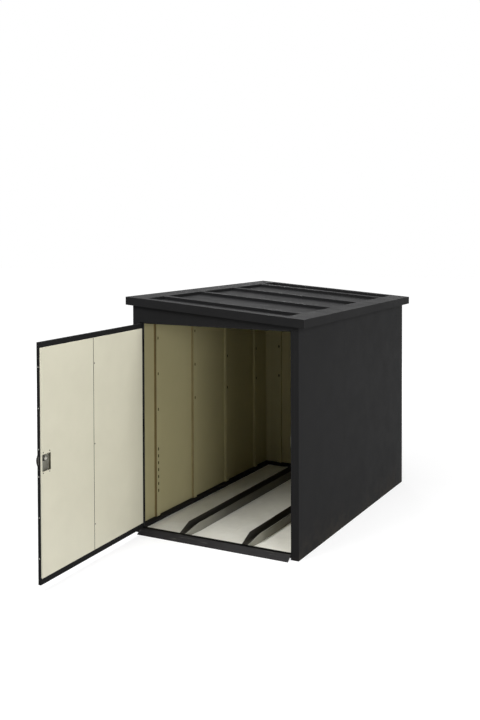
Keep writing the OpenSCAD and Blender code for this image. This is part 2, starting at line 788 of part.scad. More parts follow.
// Guides that hold each rod midway and near the edge of the leaf
guide_w = 28;
guide_h = 30;
guide_mid = 260;
guide_end = 60;
module rod_guide(x, z) {
    difference() {
        block([x - guide_w / 2, sheet, z - guide_h / 2], [x + guide_w / 2, cover_y, z + guide_h / 2]);
        rod_hole(x, seat_gap, z - guide_h, z + guide_h);
    }
}
module rod_guides() {
    color(zinc) at_origin() opened() {
        for (z = [lock_z + guide_mid, leaf_z1 - guide_end]) rod_guide(lock_x + rod_x, z);
        for (z = [lock_z - guide_mid, leaf_z0 + guide_end]) rod_guide(lock_x - rod_x, z);
    }
}

// Rods: each has a yoke with a level slot round its drive pin
// The yoke starts beside the spindle
module lock_rod(len) {
    pin_z = cam_pin_ring * sin(handle_turn / 2);
    slot_w = cam_pin_ring * (1 - cos(handle_turn / 2)) + 2 * (drive_pin_r + pin_end);
    slot_x0 = cam_pin_ring * cos(handle_turn / 2) - drive_pin_r - pin_end;
    difference() {
        union() {
            block([yoke_in, 0, -pin_z - yoke_down], [yoke_in + yoke_w, rod_t, -pin_z + yoke_up]);
            block([rod_x - rod_w / 2, 0, -pin_z], [rod_x + rod_w / 2, rod_t, len]);
        }
        block([slot_x0, -1, -pin_z - drive_pin_r - slot_play],
              [slot_x0 + slot_w, rod_t + 1, -pin_z + drive_pin_r + slot_play]);
    }
}
module top_rod() {
    color(oiled_steel) at_origin() opened() translate([lock_x, rod_y, lock_z])
        lock_rod(leaf_z1 - 1 - lock_z);
}
module bottom_rod() {
    color(oiled_steel) at_origin() opened() translate([lock_x, rod_y, lock_z]) rotate([0, 180, 0])
        lock_rod(lock_z - leaf_z0 - 1);
}

// Side bolt with an upright slot round its drive pin
module side_bolt() {
    pin_x = -cam_pin_ring * sin(handle_turn / 2);
    z_top = -cam_pin_ring * cos(handle_turn / 2) + drive_pin_r + pin_end;
    color(oiled_steel) at_origin() opened() translate([lock_x, bolt_y, lock_z]) difference() {
        block([pin_x - bolt_tail, 0, -bolt_low], [backset - 1, bolt_t, -bolt_low + bolt_h]);
        block([pin_x - drive_pin_r - slot_play, -1, -cam_pin_ring - drive_pin_r - pin_end],
              [pin_x + drive_pin_r + slot_play, bolt_t + 1, z_top]);
    }
}

// Cam: a disc on the spindle with two drive pins in front and one behind
module drive_pin(a, y0, y1) {
    translate([cam_pin_ring * cos(a), y0, cam_pin_ring * sin(a)]) rotate([-90, 0, 0])
        cylinder(r = drive_pin_r, h = y1 - y0);
}
module lock_cam() {
    half = handle_turn / 2;
    color(oiled_steel) at_origin() opened() translate([lock_x, 0, lock_z]) {
        difference() {
            translate([0, cam_y, 0]) rotate([-90, 0, 0])
                cylinder(r = cam_pin_ring + 2 * drive_pin_r, h = cam_t);
            translate([0, cam_y - 1, 0]) rotate([-90, 0, 0]) cylinder(r = spindle_r + run_gap, h = cam_t + 2);
        }
        drive_pin(-half, cam_y + cam_t / 2, rod_y + rod_t + pin_end);
        drive_pin(180 - half, cam_y + cam_t / 2, rod_y + rod_t + pin_end);
        drive_pin(-handle_turn - half, bolt_y + seat_gap, cam_y + cam_t / 2);
    }
}

// Escutcheon: a round rose on the outer face that the hub turns in
rose_r = 24;
rose_t = 5;
rose_edge = 2;
rose_slope = 3;
module handle_escutcheon() {
    color(dark_steel) at_origin() opened() translate([lock_x, 0, lock_z]) rotate([90, 0, 0])
        rotate_extrude() polygon([[hub_r + run_gap, 0], [rose_r, 0], [rose_r, rose_edge],
                                  [rose_r - rose_slope, rose_t], [hub_r + run_gap, rose_t]]);
}

// Handle: hub, a bowed grip that hangs down from it, and the spindle
grip_r = 6.5;
bow_r = 62;
grip_drop = 21;
hub_face = grip_off - 5;
hub_in = 3;
spindle_out = 4;
module handle() {
    bow = asin((grip_len / 2 - grip_r) / bow_r);
    color(dark_steel) at_origin() opened() translate([lock_x, 0, lock_z]) difference() {
        union() {
            rotate([90, 0, 0]) translate([0, 0, -hub_in]) cylinder(r = hub_r, h = hub_face + hub_in);
            translate([0, bow_r - grip_off, -grip_drop]) {
                rotate([0, 90, 0]) rotate([0, 0, -90 - bow]) rotate_extrude(angle = 2 * bow)
                    translate([bow_r, 0]) circle(r = grip_r);
                for (s = [-1, 1])
                    translate([0, -bow_r * cos(bow), s * bow_r * sin(bow)]) sphere(r = grip_r);
            }
            rotate([-90, 0, 0]) cylinder(r = spindle_r, h = cover_y + cover_t + spindle_out);
        }
        // Bore for the key cylinder, open through the front of the grip
        translate([0, -grip_off - grip_r, 0]) rotate([-90, 0, 0])
            cylinder(r = plug_r + run_gap, h = grip_off + grip_r - hub_face + plug_len);
    }
}

// Key cylinder in the hub's face, with its key slot
key_t = 1.6;
key_h = 7;
key_depth = 12;
module key_cylinder() {
    color(zinc) at_origin() opened() translate([lock_x, -hub_face, lock_z]) difference() {
        rotate([-90, 0, 0]) cylinder(r = plug_r, h = plug_len - seat_gap);
        block([-key_t / 2, -1, -key_h / 2], [key_t / 2, key_depth, key_h / 2]);
    }
}

base_rail_left();
base_rail_right();
base_rail_rear();
threshold();
floor_panel_front();
floor_panel_rear();
front_post_left();
front_post_right();
header();
door_seal();
front_corner_panel_left();
front_corner_panel_right();
left_wall_panel_1();
left_wall_panel_2();
left_wall_panel_3();
right_wall_panel_1();
right_wall_panel_2();
right_wall_panel_3();
rear_corner_left();
rear_corner_right();
rear_wall_panel_1();
rear_wall_panel_2();
left_joint_strips();
right_joint_strips();
rear_joint_strips();
roof_bearers();
roof_tray_1();
roof_tray_2();
roof_tray_3();
roof_tray_4();
roof_tray_5();
roof_ribs();
roof_border_front();
roof_border_rear();
roof_border_left();
roof_border_right();
wheel_channel_left_front();
wheel_channel_left_rear();
wheel_channel_right_front();
wheel_channel_right_rear();
frame_hinge_leaves();
hinge_pins();
strike_plate();
door_skin();
door_lining_hinge_side();
door_lining_lock_side();
door_hinge_leaves();
lock_case();
rod_guides();
handle_escutcheon();
handle();
lock_cam();
key_cylinder();
top_rod();
bottom_rod();
side_bolt();
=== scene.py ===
"""Finishes, small fasteners and a plain studio for a lockable steel bicycle shelter.

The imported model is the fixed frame. Its sheets, rails and lock pieces keep their shapes and
get their coatings here, and the rivets, screws and slots too small for the solids are added.
"""

import json
import math

import bmesh
import bpy
from bpy.props import FloatProperty, FloatVectorProperty, IntProperty, PointerProperty
from mathutils import Matrix, Vector


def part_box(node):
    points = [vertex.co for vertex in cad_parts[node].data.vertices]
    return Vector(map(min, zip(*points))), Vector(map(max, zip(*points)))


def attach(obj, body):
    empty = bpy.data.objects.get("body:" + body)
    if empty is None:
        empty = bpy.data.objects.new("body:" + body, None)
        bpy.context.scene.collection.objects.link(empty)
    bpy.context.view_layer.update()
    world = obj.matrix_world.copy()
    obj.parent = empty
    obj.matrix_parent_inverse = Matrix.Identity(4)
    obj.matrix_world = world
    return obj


bl_info = {
    "name": "Bicycle Shelter Finishes",
    "version": (1, 0, 0),
    "blender": (4, 5, 0),
    "location": "View3D > Sidebar > Shelter",
    "description": "Coatings, fasteners and a studio for a lockable bicycle shelter",
    "category": "Object",
}

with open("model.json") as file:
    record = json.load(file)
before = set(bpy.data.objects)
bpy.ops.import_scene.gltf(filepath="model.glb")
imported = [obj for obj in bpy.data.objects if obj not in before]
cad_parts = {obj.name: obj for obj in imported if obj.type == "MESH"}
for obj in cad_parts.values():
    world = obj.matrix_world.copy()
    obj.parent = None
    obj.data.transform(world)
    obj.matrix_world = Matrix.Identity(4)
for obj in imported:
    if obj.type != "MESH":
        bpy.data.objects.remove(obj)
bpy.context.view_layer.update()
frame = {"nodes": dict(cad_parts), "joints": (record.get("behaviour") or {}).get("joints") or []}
NODES = frame["nodes"]

MM = 0.001
UP = Vector((0, 0, 1))
SHARP_EDGE = math.radians(35)


def joint(name):
    """The record's joint of that name."""
    return next(j for j in frame["joints"] if j["name"] == name)


DOOR_PIVOT = Vector(joint("door_swing")["pos_m"])
DOOR_OPEN = math.radians(joint("door_swing")["range_deg"][1])
TO_OPEN = Matrix.Rotation(-DOOR_OPEN, 3, "Z")
HANDLE_AXIS = Vector(joint("handle_turn")["pos_m"])

# Directions of the open door: into the cabin when it is closed, and out of its free edge
DOOR_INWARD = TO_OPEN @ Vector((0, 1, 0))
DOOR_FREE_SIDE = TO_OPEN @ Vector((1, 0, 0))


def opened(point):
    """A point of the closed door, where the open door has it."""
    return TO_OPEN @ (Vector(point) - DOOR_PIVOT) + DOOR_PIVOT


def closed(point):
    """A point of the open door, where the closed door has it."""
    return TO_OPEN.inverted() @ (Vector(point) - DOOR_PIVOT) + DOOR_PIVOT


def closed_box(node):
    """Lowest and highest corner of a door node, as if the door were closed."""
    points = [closed(v.co) for v in NODES[node].data.vertices]
    return (Vector([min(p[i] for p in points) for i in range(3)]),
            Vector([max(p[i] for p in points) for i in range(3)]))


def facing(normal):
    """Rotation that turns local Z to normal and keeps local Y upright."""
    normal = Vector(normal).normalized()
    side = UP.cross(normal).normalized()
    return Matrix((side, normal.cross(side), normal)).transposed().to_euler()


# Settings


def colour(name, description, *default):
    """A colour that the user can change."""
    return FloatVectorProperty(name=name, description=description, subtype="COLOR", size=3,
                               min=0, max=1, default=default)


def length(name, description, low, high, default):
    """A length that the user can change."""
    return FloatProperty(name=name, description=description, unit="LENGTH", min=low, max=high,
                         default=default)


class ShelterColours(bpy.types.PropertyGroup):
    """Colours of the coatings and the metals."""
    dark_paint: colour(
        "Dark paint", "Powder coat of the frame, the walls and the roof", 0.0145, 0.0145, 0.0149)
    # Painted light: the lighter tone of the threshold's forward-facing ramp
    ramp_painted_light: colour(
        "Ramp coat", "Dulled dark paint on the threshold's ramp", 0.0290, 0.0282, 0.0290)
    # Painted shade: black on the flat of the threshold
    sill_painted_shade: colour(
        "Sill strip", "Black strip on the flat of the threshold", 0.0040, 0.0040, 0.0040)
    cream_coat: colour(
        "Cream coat", "Coating of the door's lining", 0.66, 0.635, 0.505)
    # Painted shade: the lining's cream, darkened and yellowed for the walls inside the cabin
    wall_cream_shaded: colour(
        "Wall coat", "Deeper cream coating inside the walls", 0.44, 0.400, 0.225)
    # Painted shade on the flanks of the walls' folds and joint strips
    fold_shade: colour(
        "Back coat", "Dull primer on the folded edges of the wall sheets", 0.22, 0.170, 0.080)
    door_primer: colour(
        "Door primer", "Grey beige primer on the back of the door's outer sheet",
        0.76, 0.74, 0.62)
    floor_coat: colour(
        "Floor coat", "Pale coating of the floor panels", 0.88, 0.87, 0.80)
    channel_coat: colour(
        "Channel coat", "Grey coating of the wheel channels", 0.125, 0.122, 0.105)
    # Painted light on the nose of each channel; also the colour of scuffs on the threshold
    wear_and_nose_light: colour(
        "Channel wear", "Rubbed flank of a channel's nose", 0.30, 0.295, 0.25)
    # Painted shade in each channel's groove; also its random dark marks
    groove_shade_and_marks: colour(
        "Channel groove", "Black marks in a channel's groove", 0.040, 0.038, 0.032)
    zinc: colour(
        "Zinc", "Plated steel of the lock, the hinge pins and the rivets", 0.36, 0.36, 0.32)
    bright_zinc: colour(
        "Bright zinc", "Fresh plating of the spindle's nut and the case screws",
        0.60, 0.59, 0.53)
    oiled_steel: colour(
        "Oiled steel", "Phosphated steel of the cam, the rods, the bolt and its face",
        0.050, 0.047, 0.040)
    black_enamel: colour(
        "Black enamel", "Enamel of the handle and its rose", 0.007, 0.007, 0.007)
    rubber: colour(
        "Rubber", "Seal on the door stops", 0.02, 0.02, 0.02)
    grime: colour(
        "Grime", "Brown dust of the ground", 0.22, 0.17, 0.11)
    # Painted shade carried by the beads along the wall seams
    sealant: colour(
        "Sealant", "Brown sealant along the seams of the walls", 0.085, 0.060, 0.026)
    slot_dark: colour(
        "Slot dark", "Shade inside a punched slot", 0.010, 0.008, 0.004)
    # Height of the painted shade along the lining's edge, next to the door's outer sheet
    edge_shade_height: length(
        "Tape height", "Height of the dark sealing tape under the lining's edge",
        0, 0.01, 0.0034)


class ShelterFasteners(bpy.types.PropertyGroup):
    """Sizes of the rivets, screws and punched slots."""
    slot_width: length(
        "Slot width", "Width of a punched slot in a joint strip", 0.002, 0.02, 0.0115)
    slot_height: length(
        "Slot height", "Height of a punched slot in a joint strip", 0.005, 0.05, 0.022)
    slot_pitch: length(
        "Slot pitch", "Distance from slot to slot up a joint strip", 0.1, 0.5, 0.255)
    rack_pitch: length(
        "Rack pitch", "Distance between the slots of the close row", 0.02, 0.08, 0.0496)
    rack_count: IntProperty(
        name="Rack count", description="Number of slots in the close row",
        min=1, max=20, default=7)
    rack_slot_width: length(
        "Rack slot width", "Width of a slot of the close row", 0.002, 0.02, 0.0115)
    rack_slot_height: length(
        "Rack slot height", "Height of a slot of the close row", 0.005, 0.05, 0.024)
    washer_radius: length(
        "Washer radius", "Radius of the washer on the inner end of the spindle",
        0.006, 0.012, 0.0105)
    rivet_radius: length(
        "Rivet radius", "Radius of a rivet in the door's edge", 0.001, 0.006, 0.0032)
    plate_screw_radius: length(
        "Plate screw radius", "Radius of a countersunk screw in a hinge leaf",
        0.001, 0.005, 0.0030)
    bead_width: length(
        "Bead width", "Width of the sealant along a seam of the walls", 0.001, 0.006, 0.0036)
    screw_radius: length(
        "Screw radius", "Radius of a screw head in the lining", 0.001, 0.006, 0.0045)


class ShelterView(bpy.types.PropertyGroup):
    """Place and lens of the camera."""
    place: FloatVectorProperty(
        name="Place", description="Where the camera stands",
        subtype="TRANSLATION", size=3, default=(2.9969, -6.2508, 2.0977))
    yaw: FloatProperty(
        name="Yaw", description="Turn to the left from looking straight at the doorway",
        unit="ROTATION", default=0.4891)
    pitch: FloatProperty(
        name="Pitch", description="Tilt downwards", unit="ROTATION", default=0.0258)
    roll: FloatProperty(
        name="Roll", description="Turn about the line of sight", unit="ROTATION", default=-0.0028)
    lens: FloatProperty(
        name="Lens", description="Focal length in millimetres", min=10, max=200, default=46.12)
    shift_x: FloatProperty(
        name="Shift across", description="Lens shift across", default=-0.0008)
    shift_y: FloatProperty(
        name="Shift up", description="Lens shift upwards", default=-0.1515)


# Node trees


class Nodes:
    """Adds nodes to a tree; their inputs are sockets or plain values."""

    def __init__(self, tree):
        self.tree = tree

    def feed(self, socket, value):
        """Links a socket to an input, or writes a number, a vector or a colour on it."""
        if isinstance(value, bpy.types.NodeSocket):
            self.tree.links.new(value, socket)
        elif socket.type == "RGBA":
            socket.default_value = (*value[:3], 1)
        else:
            socket.default_value = value

    def node(self, kind, *values, **named):
        """A node; its settings are named in small letters, its inputs by label or in order."""
        node = self.tree.nodes.new(kind)
        for name in filter(str.islower, named):
            setattr(node, name, named[name])
        for socket, value in zip(node.inputs, values):
            if value is not None:
                self.feed(socket, value)
        for name, value in named.items():
            if not name.islower():
                self.feed(node.inputs[name.replace("_", " ")], value)
        return node

    def maths(self, operation, a, b=None, clamp=False):
        """The result of a Math node."""
        return self.node("ShaderNodeMath", a, b, operation=operation, use_clamp=clamp).outputs[0]

    def times(self, a, b, clamp=False):
        """a times b."""
        return self.maths("MULTIPLY", a, b, clamp)

    def less(self, a, b):
        """1 where a is less than b, else 0."""
        return self.maths("LESS_THAN", a, b)

    def vector_maths(self, operation, a, b=None, result="Vector"):
        """The named result of a Vector Math node."""
        return self.node("ShaderNodeVectorMath", a, b, operation=operation).outputs[result]

    def vector(self, x, y, z):
        """A vector from its three parts."""
        return self.node("ShaderNodeCombineXYZ", x, y, z).outputs[0]

    def split(self, vector):
        """The X, Y and Z of a vector."""
        return self.node("ShaderNodeSeparateXYZ", vector).outputs

    def mix(self, factor, a, b):
        """A colour between a and b."""
        node = self.node("ShaderNodeMix", data_type="RGBA")
        for index, value in ((0, factor), (6, a), (7, b)):
            self.feed(node.inputs[index], value)
        return node.outputs[2]

    def noise(self, vector, scale, detail, roughness):
        """The value of a 3D noise texture."""
        return self.node("ShaderNodeTexNoise", Vector=vector, Scale=scale, Detail=detail,
                         Roughness=roughness).outputs[0]

    def remap(self, value, low, high, to_low=0.0, to_high=1.0):
        """A value taken from low..high to to_low..to_high and held between them."""
        return self.node("ShaderNodeMapRange", value, low, high, to_low, to_high).outputs[0]


class Group(Nodes):
    """A node group; each socket is given as its label, its type and, for some, its default."""

    def __init__(self, name, kind, inputs, outputs):
        super().__init__(bpy.data.node_groups.new(name, kind))
        for in_out, rows in (("INPUT", inputs), ("OUTPUT", outputs)):
            for label, socket_type, *default in rows:
                item = self.tree.interface.new_socket(label, in_out=in_out,
                                                      socket_type=f"NodeSocket{socket_type}")
                if default:
                    item.default_value = default[0]
        self.into = self.tree.nodes.new("NodeGroupInput").outputs
        self.out = self.tree.nodes.new("NodeGroupOutput").inputs


# Shader node groups that several finishes share


def coat_grain():
    """Height of a sprayed coat: fine orange peel over the long waves of thin sheet."""
    group = Group("coat_grain", "ShaderNodeTree",
                  [("Vector", "Vector"), ("Peel Scale", "Float", 900.0),
                   ("Peel Depth", "Float", 0.00002), ("Wave Scale", "Float", 2.2),
                   ("Wave Depth", "Float", 0.0004)],
                  [("Height", "Float"), ("Mottle", "Float")])
    place = group.into["Vector"]
    peel = group.times(group.noise(place, group.into["Peel Scale"], 2.0, 0.4),
                       group.into["Peel Depth"])
    wave = group.times(group.noise(place, group.into["Wave Scale"], 1.0, 0.3),
                       group.into["Wave Depth"])
    group.feed(group.out["Height"], group.maths("ADD", peel, wave))
    group.feed(group.out["Mottle"], group.noise(place, 7.0, 5.0, 0.6))
    return group.tree


def ground_grime():
    """Dust and splashes that thin out with height, and faint smears."""
    group = Group("ground_grime", "ShaderNodeTree",
                  [("Vector", "Vector"), ("Coat", "Color"), ("Grime", "Color"),
                   ("Amount", "Float", 0.2), ("Clean Height", "Float", 0.35)],
                  [("Colour", "Color"), ("Mask", "Float")])
    place = group.into["Vector"]
    low = group.remap(group.split(place)["Z"], 0.0, group.into["Clean Height"], 1.0, 0.0)
    low = group.maths("POWER", low, 2.0)
    cloud = group.remap(group.noise(place, 9.0, 6.0, 0.65), 0.42, 0.72)
    speck = group.remap(group.noise(place, 210.0, 2.0, 0.5), 0.60, 0.70)
    dirt = group.maths("ADD", cloud, group.times(speck, 0.5), clamp=True)
    mask = group.times(group.times(low, dirt), group.into["Amount"], clamp=True)
    group.feed(group.out["Mask"], mask)
    group.feed(group.out["Colour"], group.mix(mask, group.into["Coat"], group.into["Grime"]))
    return group.tree


def hairline_scuffs():
    """Thin rubbed lines along one direction, in patches."""
    group = Group("hairline_scuffs", "ShaderNodeTree",
                  [("Vector", "Vector"), ("Stretch", "Vector", (60.0, 4.0, 60.0)),
                   ("Amount", "Float", 0.3)],
                  [("Mask", "Float")])
    place = group.into["Vector"]
    stretched = group.vector_maths("MULTIPLY", place, group.into["Stretch"])
    lines = group.remap(group.noise(stretched, 1.0, 4.0, 0.6), 0.58, 0.66)
    patch = group.remap(group.noise(place, 5.0, 2.0, 0.5), 0.45, 0.65)
    mask = group.times(group.times(lines, patch), group.into["Amount"], clamp=True)
    group.feed(group.out["Mask"], mask)
    return group.tree


EFFECTS = {build.__name__: build for build in (coat_grain, ground_grime, hairline_scuffs)}


# Finishes

# The dark paint reflects little, so the white surround doesn't turn it grey at a low angle
DARK_SPECULAR = 0.012
DARK_ROUGHNESS = (0.38, 0.50)
DARK_SPREAD = 0.06

# Part of the mottle's range that carries its change
MOTTLE_RANGE = (0.3, 0.7)

# Share of a face's normal along an axis, from which the face looks that way
FACES_AXIS = 0.5


class Finish(Nodes):
    """A material in the making, with Object coordinates and the grain of its coat."""

    def __init__(self, name, roughness, metallic=0.0, specular=0.5, **grain):
        self.material = bpy.data.materials.new(name)
        self.material.use_nodes = True
        super().__init__(self.material.node_tree)
        self.shader = self.tree.nodes["Principled BSDF"].inputs
        self.shader["Roughness"].default_value = roughness
        self.shader["Metallic"].default_value = metallic
        self.shader["Specular IOR Level"].default_value = specular
        coords = self.node("ShaderNodeTexCoord").outputs
        self.place = coords["Object"]
        self.normal = coords["Normal"]
        self.colours = bpy.context.scene.shelter_colours
        self.grain = self.effect("coat_grain", **grain)

    def effect(self, name, **values):
        """The outputs of a shared shader node group, which is built on first use."""
        node = self.node("ShaderNodeGroup")
        node.node_tree = bpy.data.node_groups.get(name) or EFFECTS[name]()
        for label, value in {"Vector": self.place, **values}.items():
            self.feed(node.inputs[label.replace("_", " ")], value)
        return node.outputs

    def mottled(self, colour, spread):
        """A colour setting, slightly darker and lighter with the mottle."""
        tone = getattr(self.colours, colour)
        dark = tuple(c * (1 - spread) for c in tone)
        light = tuple(min(1.0, c * (1 + spread)) for c in tone)
        return self.mix(self.remap(self.grain["Mottle"], *MOTTLE_RANGE), dark, light)

    def grimy(self, tone, amount, clean_height):
        """The tone under the ground's grime, and where that lies."""
        grime = self.effect("ground_grime", Coat=tone, Grime=self.colours.grime, Amount=amount,
                            Clean_Height=clean_height)
        return grime["Colour"], grime["Mask"]

    def scuffs(self, stretch, amount):
        """Where hairline scuffs lie."""
        return self.effect("hairline_scuffs", Stretch=stretch, Amount=amount)["Mask"]

    def along_door(self, axis):
        """How far along an axis of the closed door a point lies."""
        axis = Vector(axis)
        along = TO_OPEN @ axis
        dot = self.vector_maths("DOT_PRODUCT", self.place, along, result="Value")
        return self.maths("ADD", dot, DOOR_PIVOT.dot(axis) - DOOR_PIVOT.dot(along))

    def close(self, tone, roughness, mask=None, worn=0.7, bump=True):
        """Feeds the shader; the roughness drifts from low to high, and is worn at the mask."""
        low, high = roughness
        self.feed(self.shader["Base Color"], tone)
        drift = self.remap(self.grain["Mottle"], *MOTTLE_RANGE, low, high)
        if mask is not None:
            drift = self.maths("ADD", drift, self.times(mask, worn - high), clamp=True)
        self.feed(self.shader["Roughness"], drift)
        if bump:
            raised = self.node("ShaderNodeBump", Strength=1.0, Distance=1.0,
                               Height=self.grain["Height"])
            self.feed(self.shader["Normal"], raised.outputs[0])
        return self.material


def single_tone(name, colour, spread, flat, roughness, metallic=0.0, specular=0.5, scuffs=None,
                bump=True, **grain):
    """A finish of one colour, with hairline scuffs where they are given."""
    coat = Finish(name, flat, metallic, specular, **grain)
    mask = coat.scuffs(*scuffs) if scuffs else None
    return coat.close(coat.mottled(colour, spread), roughness, mask, worn=0.6, bump=bump)


def dark_paint():
    """Satin dark grey powder coat."""
    coat = Finish("dark_powder_coat", 0.50, specular=DARK_SPECULAR)
    tone, dirt = coat.grimy(coat.mottled("dark_paint", DARK_SPREAD), 0.03, 0.25)
    return coat.close(tone, DARK_ROUGHNESS, dirt)


# Normals of the threshold: forward on its ramp, upward on its flat
RAMP_SLOPE = 0.3
FLAT_SLOPE = 0.97


def sill_coat():
    """Coat of the threshold: painted light on its forward-facing ramp, painted shade on its flat,
    dark paint elsewhere.
    """
    coat = Finish("sill_coating", 0.45, specular=DARK_SPECULAR)
    normal = coat.split(coat.normal)
    ramp = coat.less(normal["Y"], -RAMP_SLOPE)
    flat = coat.less(FLAT_SLOPE, normal["Z"])
    # Painted light on the ramp, which faces forward, and painted shade on the flat
    tone = coat.mix(ramp, coat.mottled("dark_paint", DARK_SPREAD), coat.mottled("ramp_painted_light", 0.10))
    tone = coat.mix(flat, tone, coat.colours.sill_painted_shade)
    scuffs = coat.scuffs((6.0, 60.0, 60.0), 0.15)
    return coat.close(coat.mix(scuffs, tone, coat.colours.wear_and_nose_light), DARK_ROUGHNESS, scuffs)


SEAM_HALF_WIDTH = 2.4 * MM


def lining_coat():
    """Satin cream coating of the door's lining, with painted shade in its seam and along the edge
    that sits on the door's outer sheet.
    """
    coat = Finish("lining_coating", 0.42, Wave_Depth=0.0006)
    low, high = closed_box("door_lining_hinge_side")
    seam = (high.x + closed_box("door_lining_lock_side")[0].x) / 2
    off_seam = coat.maths("ABSOLUTE", coat.maths("SUBTRACT", coat.along_door((1, 0, 0)), seam))
    depth = coat.maths("SUBTRACT", coat.along_door((0, 1, 0)), low.y)
    # Painted shade in the seam's gap and along the lining's edge next to the outer sheet
    shaded = coat.maths("MAXIMUM", coat.less(depth, coat.colours.edge_shade_height),
                        coat.less(off_seam, SEAM_HALF_WIDTH))
    tone = coat.mix(shaded, coat.mottled("cream_coat", 0.02), coat.colours.slot_dark)
    tone, dirt = coat.grimy(tone, 0.12, 0.30)
    return coat.close(tone, (0.36, 0.46), dirt)


# Depths between which only the back of the door's outer sheet lies
DOOR_BACK_DEPTHS = (0.8 * MM, 2.5 * MM)


def door_sheet():
    """Door skin: dark powder coat, and dull primer on the back of its outer sheet."""
    coat = Finish("door_sheet", 0.45, specular=DARK_SPECULAR)
    front = closed_box("door_skin")[0].y
    depth = coat.maths("SUBTRACT", coat.along_door((0, 1, 0)), front)
    inward = coat.vector_maths("DOT_PRODUCT", coat.normal, DOOR_INWARD, result="Value")
    shallow, deep = DOOR_BACK_DEPTHS
    within = coat.times(coat.less(shallow, depth), coat.less(depth, deep))
    back = coat.times(within, coat.less(FACES_AXIS, inward))
    tone = coat.mix(back, coat.mottled("dark_paint", DARK_SPREAD),
                    coat.mottled("door_primer", 0.06))
    tone, dirt = coat.grimy(tone, 0.03, 0.25)
    return coat.close(tone, DARK_ROUGHNESS, dirt)


# Depth of a wall's coloured outside, and how far inside it the cream faces may stand
WALL_SKIN = 0.75 * MM
PANEL_REACH = 3 * MM
STRIP_REACH = 20 * MM

# Depth in the cabin over which the painted shade on the folds gives way to cream, as painted light
# deeper in
FOLD_SHADE_FADE = (-0.45, 0.25)


def toward_rear(coat, spot):
    """0 on the folds near the doorway, which carry painted shade, 1 on the folds near the rear,
    which take cream as painted light.
    """
    return coat.remap(spot["Y"], *FOLD_SHADE_FADE)


def two_sided_sheet(name, reach):
    """Sheet that is dark outside, cream on faces along the wall, painted shade on folds and flanks
    that gives way to cream towards the rear.
    """
    coat = Finish(name, 0.45, specular=DARK_SPECULAR, Wave_Depth=0.0006)
    less, times = coat.less, coat.times
    spot, normal = coat.split(coat.place), coat.split(coat.normal)
    half = max(abs(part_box("left_wall_panel_1")[0].x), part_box("right_wall_panel_1")[1].x)
    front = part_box("front_corner_panel_left")[0].y
    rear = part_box("rear_wall_panel_1")[1].y
    across = coat.maths("ABSOLUTE", spot["X"])
    inside = times(times(less(across, half - WALL_SKIN), less(spot["Y"], rear - WALL_SKIN)),
                   less(front + WALL_SKIN, spot["Y"]))
    side_face = times(less(FACES_AXIS, coat.maths("ABSOLUTE", normal["X"])),
                      less(half - reach, across))
    rear_face = times(less(FACES_AXIS, coat.maths("ABSOLUTE", normal["Y"])),
                      less(rear - reach, spot["Y"]))
    face = coat.maths("MAXIMUM", side_face, rear_face)
    # Painted shade: the walls' cream is a darker, yellower copy of the lining's cream
    cream = coat.mottled("wall_cream_shaded", 0.02)
    # The primer tone is painted shade on folds and flanks near the doorway, fading to cream deeper
    # in as painted light
    primer = coat.mix(toward_rear(coat, spot), coat.mottled("fold_shade", 0.06), cream)
    tone = coat.mix(inside, coat.mottled("dark_paint", DARK_SPREAD), coat.mix(face, primer, cream))
    coat.feed(coat.shader["Coat Weight"], times(times(inside, face), 0.8))
    coat.shader["Coat Roughness"].default_value = 0.42
    tone, dirt = coat.grimy(tone, 0.10, 0.30)
    return coat.close(tone, (0.38, 0.48), dirt)


def wall_sheet():
    """Wall panels: the inner faces lie just behind the outer skin."""
    return two_sided_sheet("wall_sheet", PANEL_REACH)


def strip_sheet():
    """Joint strips: their faces stand further inside the outer skin."""
    return two_sided_sheet("strip_sheet", STRIP_REACH)


def floor_coat():
    """Pale floor coating with brown smears and scuffs."""
    coat = Finish("floor_coating", 0.5)
    tone, dirt = coat.grimy(coat.mottled("floor_coat", 0.03), 0.10, 0.30)
    scuffs = coat.scuffs((90.0, 5.0, 60.0), 0.12)
    return coat.close(coat.mix(scuffs, tone, coat.colours.grime), (0.42, 0.56), dirt, worn=0.8)


# Length from a channel's nose over which its painted light fades; share of its half width from
# which its right flank, which keeps the grey, starts, and how far the faces of that flank may turn
# to the left
NOSE_LIGHT_LENGTH = 0.55
FLANK_SHARE = 0.30
FLANK_TURN = -0.2


def channel_coat():
    """Grey coating of the wheel channels: painted shade in the groove and on faces turned left,
    painted light on the nose.
    """
    coat = Finish("channel_coating", 0.42, specular=0.2, Wave_Depth=0.0001)
    colours = coat.colours
    spot, normal = coat.split(coat.place), coat.split(coat.normal)
    low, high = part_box("wheel_channel_left_front")
    left = (low.x + high.x) / 2
    right = sum(corner.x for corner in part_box("wheel_channel_right_front")) / 2
    half = (high.x - low.x) / 2
    # Distance across from the middle of the nearer channel, positive to the right
    middle = coat.remap(coat.less((left + right) / 2, spot["X"]), 0.0, 1.0, left, right)
    across = coat.maths("SUBTRACT", spot["X"], middle)
    # The right flank keeps the grey; the groove and the faces turned left get painted shade
    flank = coat.times(coat.less(FLANK_SHARE * half, across), coat.less(FLANK_TURN, normal["X"]))
    rise = coat.remap(spot["Y"], low.y, low.y + NOSE_LIGHT_LENGTH)
    # Painted light: pale at the nose, fading to the grey further back
    grey = coat.mix(rise, colours.wear_and_nose_light, colours.channel_coat)
    tone = coat.mix(flank, colours.groove_shade_and_marks, grey)
    cloud = coat.remap(coat.grain["Mottle"], *MOTTLE_RANGE, 0.0, 0.16)
    tone = coat.mix(cloud, tone, colours.groove_shade_and_marks)
    scuffs = coat.scuffs((160.0, 6.0, 160.0), 0.35)
    return coat.close(coat.mix(scuffs, tone, colours.grime), (0.34, 0.46), scuffs)


